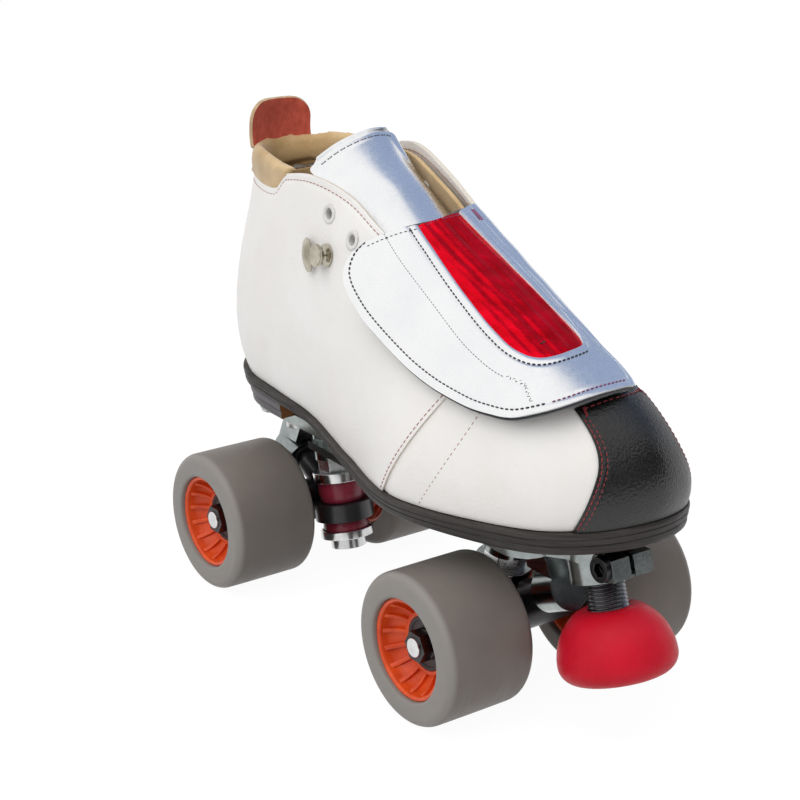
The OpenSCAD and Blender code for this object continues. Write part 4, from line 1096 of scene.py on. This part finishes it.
def anchor_spot(a, b):
    along = ANCHOR_TO + b * (ANCHOR_FROM - ANCHOR_TO)
    fold = slope_point(along, np.full_like(along, 14.3 * MM), np.full_like(along, -1.2 * MM))
    u = np.interp(fold[:, 0], anchor_xs[::-1], anchor_us[::-1])
    f = a[:, None]
    return ((1 - f) ** 2 * fold + 2 * f * (1 - f) * on_last(u, 0.94, 2.0 * MM)
            + f ** 2 * on_last(u, 0.86, 1.5 * MM))


def fold_spot(a, b):
    p = through(FOLD, a * (len(FOLD) - 1)) * MM
    return slope_point(ANCHOR_TO + b * (ANCHOR_FROM - ANCHOR_TO), p[:, 0], p[:, 1])


anchor = grid_piece("cover_anchor_strip", 24, 120, anchor_spot)
fold = grid_piece("cover_fold_strip", 26, 120, fold_spot)
for piece, thick in ((anchor, 1.2 * MM), (fold, 0.7 * MM)):
    wear(piece, SILVER_FOIL, DARK_BACKING, DARK_BACKING)
    thicken(piece, thick, 0.2 * MM, 2, 60, back=1, rim=2)
    smooth(piece, 50)
serve(anchor, "boot", "silver_foil", "cover_anchor")
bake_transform(fold)

# Hook and loop pads under the free edge, and the cover's own thread
PAD_ALONG, PAD_Q = (14 * MM, 62 * MM), (0.70, 0.84)


def pad_strip(name, top, look, body, node):
    def spot(a, b):
        p, out = section(PAD_Q[1] + a * (PAD_Q[0] - PAD_Q[1]))
        p = p + out * top
        return slope_point(PAD_ALONG[0] + b * (PAD_ALONG[1] - PAD_ALONG[0]), p[:, 0], p[:, 1])
    strip = grid_piece(name, 30, 110, spot)
    outward(strip)
    thicken(strip, 0.8 * MM, 0.2 * MM, 2, 60)
    smooth(strip, 50)
    wear(strip, look)
    serve(strip, body, "fastener_pad", node)


pad_strip("hook_pad", -0.3 * MM, felt_finish("hook_tape", (0.008, 0.008, 0.009), (0.03, 0.03, 0.032)),
          "lace_cover", "hook_patch")
pad_strip("loop_pad", -1.4 * MM, felt_finish("loop_tape", (0.012, 0.012, 0.013), (0.05, 0.05, 0.052)),
          "boot", "loop_patch")


def cover_row(name, flat, thread=BLACK_THREAD, size=(1.5, 1.95, 0.26), off=COVER_T):
    """Stitches along a line of the flat pattern."""
    line = on_cover(flat, off - 0.16 * MM + 0.3 * MM * cover_waves(flat))
    sew(name, line, cover_out(flat), size, thread, "lace_cover", "silver_foil")


PURPLE_THREAD = thread_finish("purple_thread", (0.13, 0.03, 0.09), (0.30, 0.075, 0.17))
cover_row("cover_edge_stitches", outer_edge(np.linspace(0, 14.2, 500), -EDGE_SEAM))
cover_row("cover_front_stitches", outer_edge(np.linspace(14.3, 17.6, 140), -EDGE_SEAM), PURPLE_THREAD,
          (1.5, 1.95, 0.2))
cover_row("cover_window_stitches", window_edge(np.linspace(0.3, 17.5, 500), WINDOW_SEAM))
cover_row("cover_mid_stitches", through(MID_SEAM, np.linspace(0, 5.6, 300)), size=(1.1, 1.5, 0.13))
zigzag = through(MID_SEAM, np.linspace(5.6, 9, 19))
zigzag[1::2, 1] += 1.6
cover_row("cover_zigzag_stitches", zigzag, size=(1.9, 2.2, 0.15))
across = np.linspace(0, 1, 60)[:, None]
edge_end, near_end, far_end = outer_edge(np.zeros(1)), window_edge(np.zeros(1)), window_edge(np.full(1, 22.0))
near_top = edge_end * (1 - across) + near_end * across + np.array([2.4, 0])
cover_row("cover_top_stitches", near_top[4:])
red_top = near_end * (1 - across) + far_end * across + np.array([1.2, 0])
cover_row("panel_top_stitches", red_top, PURPLE_THREAD, (1.1, 1.5, 0.18), FACE_T + 0.2 * MM)
for k, along in enumerate((10.5, 13.0)):
    tack = np.stack([np.linspace(along, along + 4, 40), np.tile([6.0, 7.6], 20)], -1)
    cover_row(f"cover_tack_{k}", tack, PURPLE_THREAD, (1.5, 0.9, 0.22))

# Plate. One aluminium casting, tumbled and polished, with ribs, truck seats and a split
# clamp in front; eight countersunk bolts hold it to the sole, with nuts inside the boot.
SHARP = 32


def dressed(name, body, slot, look, edge, *nodes):
    """Copy of CAD solids with merged faces, edges eased by so many mm and their own finish."""
    twins = [bpy.data.objects.new(name, frame["nodes"][node].data.copy()) for node in nodes]
    for twin in twins:
        bpy.context.scene.collection.objects.link(twin)
    piece = as_one(name, *twins)
    edit(piece, ("remove_doubles", {"threshold": 0.01 * MM}),
         ("dissolve_limited", {"angle_limit": math.radians(0.6)}))
    ease(piece, edge * MM, 2, SHARP)
    smooth(piece, SHARP + 6)
    finish_with(piece, "WEIGHTED_NORMAL", keep_sharp=True)
    wear(piece, look)
    serve(piece, body, slot, *nodes)


# The plate's base colour is far darker than bare aluminium: painted dark reflection, standing in for the darker
# surroundings that the polished casting mirrors.
POLISHED = metal_finish("polished_plate", (0.20, 0.225, 0.22), (0.42, 0.45, 0.445), 0.20, 0.00008,
                        brushed=(0.25, 1, 1))
ZINC_STEEL = metal_finish("zinc_steel", (0.46, 0.465, 0.47), (0.74, 0.74, 0.735), 0.26)
BRIGHT_STEEL = metal_finish("bright_steel", (0.52, 0.52, 0.525), (0.80, 0.80, 0.80), 0.18)
DARK_STEEL = metal_finish("dark_steel", (0.03, 0.03, 0.032), (0.075, 0.075, 0.08), 0.34)
dressed("plate_casting", "boot", "plate_metal", POLISHED, 0.5, "plate")
dressed("plate_bolt_set", "boot", "steel", ZINC_STEEL, 0.25, "plate_bolts")
dressed("plate_nut_set", "boot", "steel", ZINC_STEEL, 0.25, "plate_nuts")
dressed("clamp_bolt_head", "boot", "dark_steel", DARK_STEEL, 0.3, "clamp_bolt")

# Kingpins and cushions. A forged pin through the plate carries two pressed steel cups
# with a soft urethane cushion on each side of the hanger's ring; the cushions give in a turn.
KINGPIN_LEAN, RING_BACK, RING_DROP = math.radians(12.8), 20 * MM, 1.5 * MM
AXLE_H = JOINTS["front_right_spin"]["pos_m"][2]
# Half a cushion from its middle, as [radius in mm, share of its half height]
CUSHION_EDGE = [[10.5, 0.0], [10.47, 0.25], [10.35, 0.5], [10.1, 0.75], [9.85, 0.90], [9.5, 0.97],
                [8.9, 1.0], [5.1, 1.0]]


def urethane_finish(name, dark, light, roughness, glow):
    return finish(name, dict(cloud=noise(60), dust=noise(900, 3, 0.6)), ("cloud", dark, light),
                  ("dust", roughness * 0.85, roughness * 1.2), [("dust", 0.0001, 0.3)],
                  Subsurface_Weight=glow, Subsurface_Scale=0.002)


def truck_frame(end):
    """Place at the middle of the hanger's ring, Z up along the kingpin."""
    way = 1 if end == "front" else -1
    at = JOINTS[f"{end}_right_spin"]["pos_m"][0]
    return (Matrix.Translation((at - way * RING_BACK, 0, AXLE_H - RING_DROP))
            @ Matrix.Rotation(way * KINGPIN_LEAN, 4, "Y"))


BURGUNDY = urethane_finish("burgundy_urethane", (0.17, 0.013, 0.026), (0.27, 0.024, 0.046), 0.30, 0.12)
for end in ("front", "rear"):
    place = truck_frame(end)
    for level, low, high in (("upper", 4.05, 16.95), ("lower", -10.95, -4.05)):
        mid, half = (low + high) / 2, (high - low) / 2
        edge = [[r, mid + half * h] for r, h in CUSHION_EDGE]
        edge += [[r, 2 * mid - h] for r, h in edge[:0:-1]]
        cushion = stand(turned(f"{end}_{level}_cushion_barrel", edge, 72, 45), place)
        wear(cushion, BURGUNDY)
        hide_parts(f"{end}_{level}_cushion")
        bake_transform(cushion)
dressed("kingpin_pair", "boot", "bright_steel", BRIGHT_STEEL, 0.3, "kingpins")
dressed("kingpin_nut_pair", "boot", "steel", ZINC_STEEL, 0.3, "kingpin_nuts")
dressed("cushion_cups", "boot", "bright_steel", BRIGHT_STEEL, 0.3, "cushion_retainers")
dressed("pivot_cup_pair", "boot", "black_plastic", urethane_finish(
    "black_plastic", (0.010, 0.010, 0.011), (0.028, 0.028, 0.03), 0.42, 0.0), 0.25, "pivot_cups")

# Hangers. Cast trucks in black satin enamel: ring, arms and a pivot pin that sits in the
# cup; the axle is pressed through and carries two wheels with lock nuts.
BLACK_ENAMEL = finish(
    "black_enamel", dict(peel=noise(700, 3, 0.5), chips=noise(55, 6, 0.7)),
    ("chips", (0.008, 0.008, 0.009), (0.02, 0.02, 0.022), 0.35, 0.7), ("chips", 0.30, 0.44),
    [("peel", 0.00012, 0.4)], Coat_Weight=0.3, Coat_Roughness=0.22)
for end in ("front", "rear"):
    truck = f"{end}_truck"
    dressed(f"{end}_hanger_casting", truck, "black_paint", BLACK_ENAMEL, 0.5, f"{end}_hanger")
    dressed(f"{end}_axle_rod", truck, "bright_steel", BRIGHT_STEEL, 0.5, f"{end}_axle")
    # The axle nuts are bright steel but take the dark steel finish: painted shade for the hollow of the hub round the
    # axle end.
    dressed(f"{end}_axle_nut_pair", truck, "bright_steel", DARK_STEEL, 0.4, f"{end}_axle_nuts")
    dressed(f"{end}_inner_ring_set", truck, "steel", ZINC_STEEL, 0, f"{end}_inner_rings", f"{end}_sleeves")

# Wheels. Warm grey urethane cast round an orange nylon core with sixteen ribs on each
# side; two shielded bearings are pressed into the core.
WHEEL_R, WHEEL_HALF, TYRE_ROUND, CORE_R = 31.0, 20.5, 3.9, 20.75
RIBS = 16
RIB_T = 1.9 * MM
corner = [[WHEEL_R - TYRE_ROUND + TYRE_ROUND * math.sin(k * math.pi / 20), WHEEL_HALF - TYRE_ROUND
           + TYRE_ROUND * math.cos(k * math.pi / 20)] for k in range(11)]
TYRE_EDGE = [[CORE_R, 0], [CORE_R, 16.0], [CORE_R, 19.5], [CORE_R + 0.2, 20.1], [CORE_R + 0.8, 20.45],
             [CORE_R + 1.6, 20.5]] + corner + [[WHEEL_R + 0.04, 9.0], [WHEEL_R + 0.05, 4.5]]
DISH_EDGE = [[CORE_R - 0.03, 0], [CORE_R - 0.03, 18.0], [20.4, 18.5], [19.9, 18.6], [19.3, 18.5], [18.9, 18.1],
             [18.75, 17.3], [18.6, 15.2], [18.2, 13.9], [17.4, 12.4], [16.2, 10.9], [14.9, 9.7], [13.7, 8.9],
             [13.1, 8.8], [12.95, 9.6], [12.7, 10.0], [12.2, 10.1], [11.4, 10.05], [11.05, 9.8], [11.05, 3.0],
             [8.2, 3.0]]
RIB_SIDE = [[12.6, 7.6], [12.6, 9.75], [13.3, 10.35], [15.2, 11.9], [17.2, 14.2], [18.4, 16.6], [18.95, 16.9],
            [18.95, 12.0]]
BEARING_EDGE = [[10.97, 3.05], [10.97, 9.6], [10.75, 9.95], [9.7, 9.95], [9.45, 9.75], [9.4, 9.45], [9.0, 9.4],
                [8.3, 9.55], [7.4, 9.55], [6.8, 9.4], [6.45, 9.4], [6.45, 9.1], [9.2, 9.0], [9.2, 4.0], [6.45, 3.9],
                [6.45, 3.6], [9.4, 3.5], [9.5, 3.05]]


def both_sides(half):
    """A profile mirrored below its middle."""
    return half + [[r, -h] for r, h in half[::-1] if h]


def off_middle(tree, spot):
    """Distance from the skate's middle plane."""
    return put(tree, "Math", {"operation": "ABSOLUTE"},
               _0=put(tree, "SeparateXYZ", Vector=spot).outputs["Y"]).outputs[0]


def rib_piece():
    """One rib as a rounded fin, standing in the core's section."""
    rib = stand(outline("core_rib", RIB_SIDE, fill_type="NGON"), Matrix.Translation((0, -RIB_T / 2, 0)))
    edit(rib, ("extrude_region_move", {"TRANSFORM_OT_translate": {"value": (0, RIB_T, 0)}}), SELECT_ALL, FACE_OUT)
    ease(rib, 0.45 * MM, 2, 50)
    smooth(rib, 40)
    return rib


# The tyre's rolled tread is darker than its moulded sides, which begin at this distance
TYRE_SIDE = (0.0590, 0.0610)
TYRE_GREY = finish(
    "tyre_urethane", dict(cloud=noise(26, 4), rolled=noise(60, 4, 0.6, (1, 12, 1)), fine=noise(1200, 3, 0.6),
                          side=off_middle),
    ("cloud", (0.150, 0.130, 0.113), (0.190, 0.167, 0.147)), ("rolled", 0.40, 0.54), [("fine", 0.0001, 0.4)],
    [("rolled", 0.5, 0.8, 0.35, (0.165, 0.148, 0.135)), ("side", *TYRE_SIDE, 0.8, (0.262, 0.246, 0.228))],
    Subsurface_Weight=0.08, Subsurface_Scale=0.003, Specular_IOR_Level=0.3)
ORANGE_NYLON = finish(
    "orange_nylon", dict(cloud=noise(140), fine=noise(1500, 3, 0.6)),
    ("cloud", (0.56, 0.048, 0.006), (0.74, 0.085, 0.010)), ("fine", 0.32, 0.46), [("fine", 0.0001, 0.4)],
    Subsurface_Weight=0.1, Subsurface_Scale=0.002)
SHIELD = metal_finish("bearing_shield", (0.012, 0.012, 0.013), (0.03, 0.03, 0.033), 0.4, metallic=0.0)
FLIPS = [Matrix.Identity(4), Matrix.Rotation(math.pi, 4, "X")]
RIB_PLACES = [Matrix.Rotation(2 * math.pi * k / RIBS, 4, "Z") @ flip for k in range(RIBS) for flip in FLIPS]
for wheel in ("front_right", "front_left", "rear_right", "rear_left"):
    place = Matrix.Translation(JOINTS[f"{wheel}_spin"]["pos_m"]) @ Matrix.Rotation(math.radians(90), 4, "X")
    tyre = turned(f"{wheel}_tyre_ring", both_sides(TYRE_EDGE), 128, 50)
    dish = turned("core_dish", both_sides(DISH_EDGE), 128, 45)
    core = as_one(f"{wheel}_core_hub", dish, copies(rib_piece(), RIB_PLACES, "core_ribs"))
    bearing = copies(turned("bearing", BEARING_EDGE, 72, 35), FLIPS, f"{wheel}_bearing_pair")
    for piece, look, slot, *nodes in ((tyre, TYRE_GREY, "tyre_urethane", "tyre"),
                                      (core, ORANGE_NYLON, "core_nylon", "core"),
                                      (bearing, SHIELD, "dark_steel", "outer_rings", "balls")):
        stand(piece, place)
        wear(piece, look)
        serve(piece, f"{wheel}_wheel", slot, *[f"{wheel}_{node}" for node in nodes])

# Toe stop. A bell of red rubber moulded round the flange of a threaded steel stem, which
# screws up and down in the plate's clamp.
STOP_AHEAD, STOP_LEAN = 38.7 * MM, math.radians(18)
STOP_FRAME = (Matrix.Translation((JOINTS["front_right_spin"]["pos_m"][0] + STOP_AHEAD, 0, PLATE_TOP))
              @ Matrix.Rotation(-STOP_LEAN, 4, "Y"))
STOP_R, STOP_ROUND, STOP_H, STOP_LOW, STOP_TOP_R = 23.25, 7.0, 27.0, -53.5, 12.0
dome = ((STOP_H - STOP_ROUND) ** 2 + (STOP_R - STOP_TOP_R) ** 2) / (2 * (STOP_R - STOP_TOP_R))
STOP_EDGE = [[0.01, 0.0], [8, 0.0], [STOP_R - STOP_ROUND - 1, 0.02]]
STOP_EDGE += [[STOP_R - STOP_ROUND + STOP_ROUND * math.sin(k * math.pi / 20),
               STOP_ROUND - STOP_ROUND * math.cos(k * math.pi / 20)] for k in range(10)]
STOP_EDGE += [[STOP_R - dome + math.sqrt(dome ** 2 - (h - STOP_ROUND) ** 2), h]
              for h in np.linspace(STOP_ROUND, 26.2, 18)]
STOP_EDGE += [[12.0, 26.7], [11.3, 26.95], [10, 27.0], [8.1, 27.0], [8.1, 22], [0.01, 22]]
THREAD = [[7.3, 0.0], [7.38, 0.12], [7.92, 0.66], [7.92, 0.84], [7.38, 1.38], [7.3, 1.5]]
STEM_LOW, THREAD_PITCH = -32.0, 1.5 * MM
rubber = turned("toe_stop_bell", [[r, STOP_LOW + h] for r, h in STOP_EDGE], 96, 45)
wear(rubber, finish(
    "stop_rubber", dict(cloud=noise(45, 4), scuff=noise(240, 5, 0.7), fine=noise(1500, 3, 0.6)),
    ("cloud", (0.47, 0.003, 0.014), (0.60, 0.007, 0.025)), ("scuff", 0.36, 0.52), [("fine", 0.00015, 0.5)],
    [("scuff", 0.58, 0.8, 0.35, (0.42, 0.004, 0.014))], Subsurface_Weight=0.08, Subsurface_Scale=0.003,
    Specular_IOR_Level=0.22))
# The thread's section is opened into a line, then wound up the stem and closed at its ends
stem = outline("toe_stop_thread", [[r, STEM_LOW + h] for r, h in THREAD])
edit(stem, ("select_all", {"action": "DESELECT"}))
for k in (0, len(THREAD) - 1):
    stem.data.vertices[k].select = True
bpy.ops.object.mode_set(mode="EDIT")
bpy.ops.mesh.delete(type="EDGE_FACE")
bpy.ops.object.mode_set(mode="OBJECT")
finish_with(stem, "SCREW", axis="Z", steps=40, render_steps=40, angle=2 * math.pi, screw_offset=THREAD_PITCH,
            iterations=17, use_merge_vertices=True, merge_threshold=0.01 * MM)
edit(stem, ("remove_doubles", {"threshold": 0.004 * MM}), ("select_mode", {"type": "VERT"}), *FILL_HOLES)
outward(stem)
smooth(stem, 40)
wear(stem, metal_finish("stem_steel", (0.09, 0.09, 0.10), (0.26, 0.26, 0.275), 0.24))
for piece, node, slot in ((rubber, "toe_stop_rubber", "stop_rubber"), (stem, "toe_stop_stem", "bright_steel")):
    stand(piece, STOP_FRAME)
    serve(piece, "toe_stop", slot, node)

# Studio. A pale sweep under soft panels that mirrors do not see; a blue and two dark cards
# that only mirrors see band the foil and metal. The camera stands where the photo was taken.
CAMERA_SPOT, CAMERA_AIM = (584.8, -428.4, 355.8), (-92.1, 57.1, 60.0)
CAMERA_LENS, FLOOR_DROP = 81.9, 0.2 * MM
PANEL_AIM, FLAG_AIM = (0, 0, 0.10), (0.05, 0, 0.12)


def facing(spot, aim, front="-Z"):
    """Place at a spot with its front turned to an aim."""
    spot, aim = Vector(spot), Vector(aim)
    return Matrix.Translation(spot) @ (aim - spot).to_track_quat(front, "Y").to_matrix().to_4x4()


scene = bpy.context.scene
scene.view_settings.view_transform = "Standard"
camera = bpy.data.objects.new("camera", bpy.data.cameras.new("camera"))
scene.collection.objects.link(camera)
camera.data.lens = CAMERA_LENS
camera.data.sensor_width = 36
camera.data.clip_start = 0.01
eye, aim = (Vector(p) * MM + Vector((STANCE, 0, 0)) for p in (CAMERA_SPOT, CAMERA_AIM))
camera.matrix_world = facing(eye, aim)
scene.camera = camera


def soft_panel(name, spot, size, power):
    lamp = bpy.data.lights.new(name, "AREA")
    lamp.shape = "RECTANGLE"
    lamp.size, lamp.size_y = size
    lamp.energy = power
    holder = bpy.data.objects.new(name, lamp)
    scene.collection.objects.link(holder)
    holder.matrix_world = facing(spot, PANEL_AIM)
    holder.visible_glossy = False


def white_to_lens(tree, lit, seen):
    """One surface for the camera and for mirrors, another for everything else."""
    path = tree.nodes.new("ShaderNodeLightPath").outputs
    ray = path["Is Camera Ray"]
    for kind in ("Is Glossy Ray", "Is Transmission Ray"):
        ray = put(tree, "Math", {"operation": "MAXIMUM"}, _0=ray, _1=path[kind]).outputs[0]
    return put(tree, "MixShader", _0=ray, _1=lit, _2=seen).outputs[0]


scene.world = bpy.data.worlds.new("studio")
scene.world.use_nodes = True
tree = scene.world.node_tree
fill = plug(tree, tree.nodes["Background"], Color=(0.93, 0.95, 1.0, 1), Strength=0.45)
bright = put(tree, "Background", Color=(1, 1, 1, 1), Strength=1.0)
plug(tree, tree.nodes["World Output"], Surface=white_to_lens(tree, fill.outputs[0], bright.outputs[0]))

floor = started("plane", "studio_floor", size=6, location=(0, 0, -FLOOR_DROP))
floor_paper, tree, shader, _ = blank_finish("floor_paper")
plug(tree, shader, Base_Color=(0.66, 0.66, 0.66, 1), Roughness=0.9, Specular_IOR_Level=0.1)
glow = put(tree, "Emission", Color=(1, 1, 1, 1), Strength=1.08)
pale = put(tree, "MixShader", _0=0.88, _1=shader.outputs[0], _2=glow.outputs[0])
plug(tree, tree.nodes["Material Output"], Surface=white_to_lens(tree, shader.outputs[0], pale.outputs[0]))
wear(floor, floor_paper)


def studio_flag(name, spot, size, tone):
    """Plain card that only mirrors see: it stands at the spot and faces the skate."""
    flag = stand(started("plane", name, size=1), facing(spot, FLAG_AIM, "Z") @ Matrix.Diagonal((*size, 1, 1)))
    cloth, tree, _, _ = blank_finish(name + "_cloth")
    glow = put(tree, "Emission", Color=(*tone, 1), Strength=1.0)
    plug(tree, tree.nodes["Material Output"], Surface=glow.outputs[0])
    wear(flag, cloth)
    flag.visible_camera = flag.visible_diffuse = flag.visible_shadow = flag.visible_transmission = False


studio_flag("blue_flag", (-0.18, 0.84, 1.08), (1.8, 1.45), (0.30, 0.38, 0.56))
studio_flag("dark_flag", (1.35, -0.85, 0.55), (1.7, 0.95), (0.06, 0.06, 0.065))
studio_flag("front_flag", (1.35, 0.62, 0.62), (1.9, 1.15), (0.05, 0.05, 0.055))
soft_panel("key_panel", (0.40, -1.48, 1.45), (2.0, 1.9), 24.5)
soft_panel("top_panel", (0.10, -0.05, 1.85), (2.3, 1.8), 17)
soft_panel("front_panel", (1.5, 0.15, 0.75), (0.9, 0.9), 1.6)
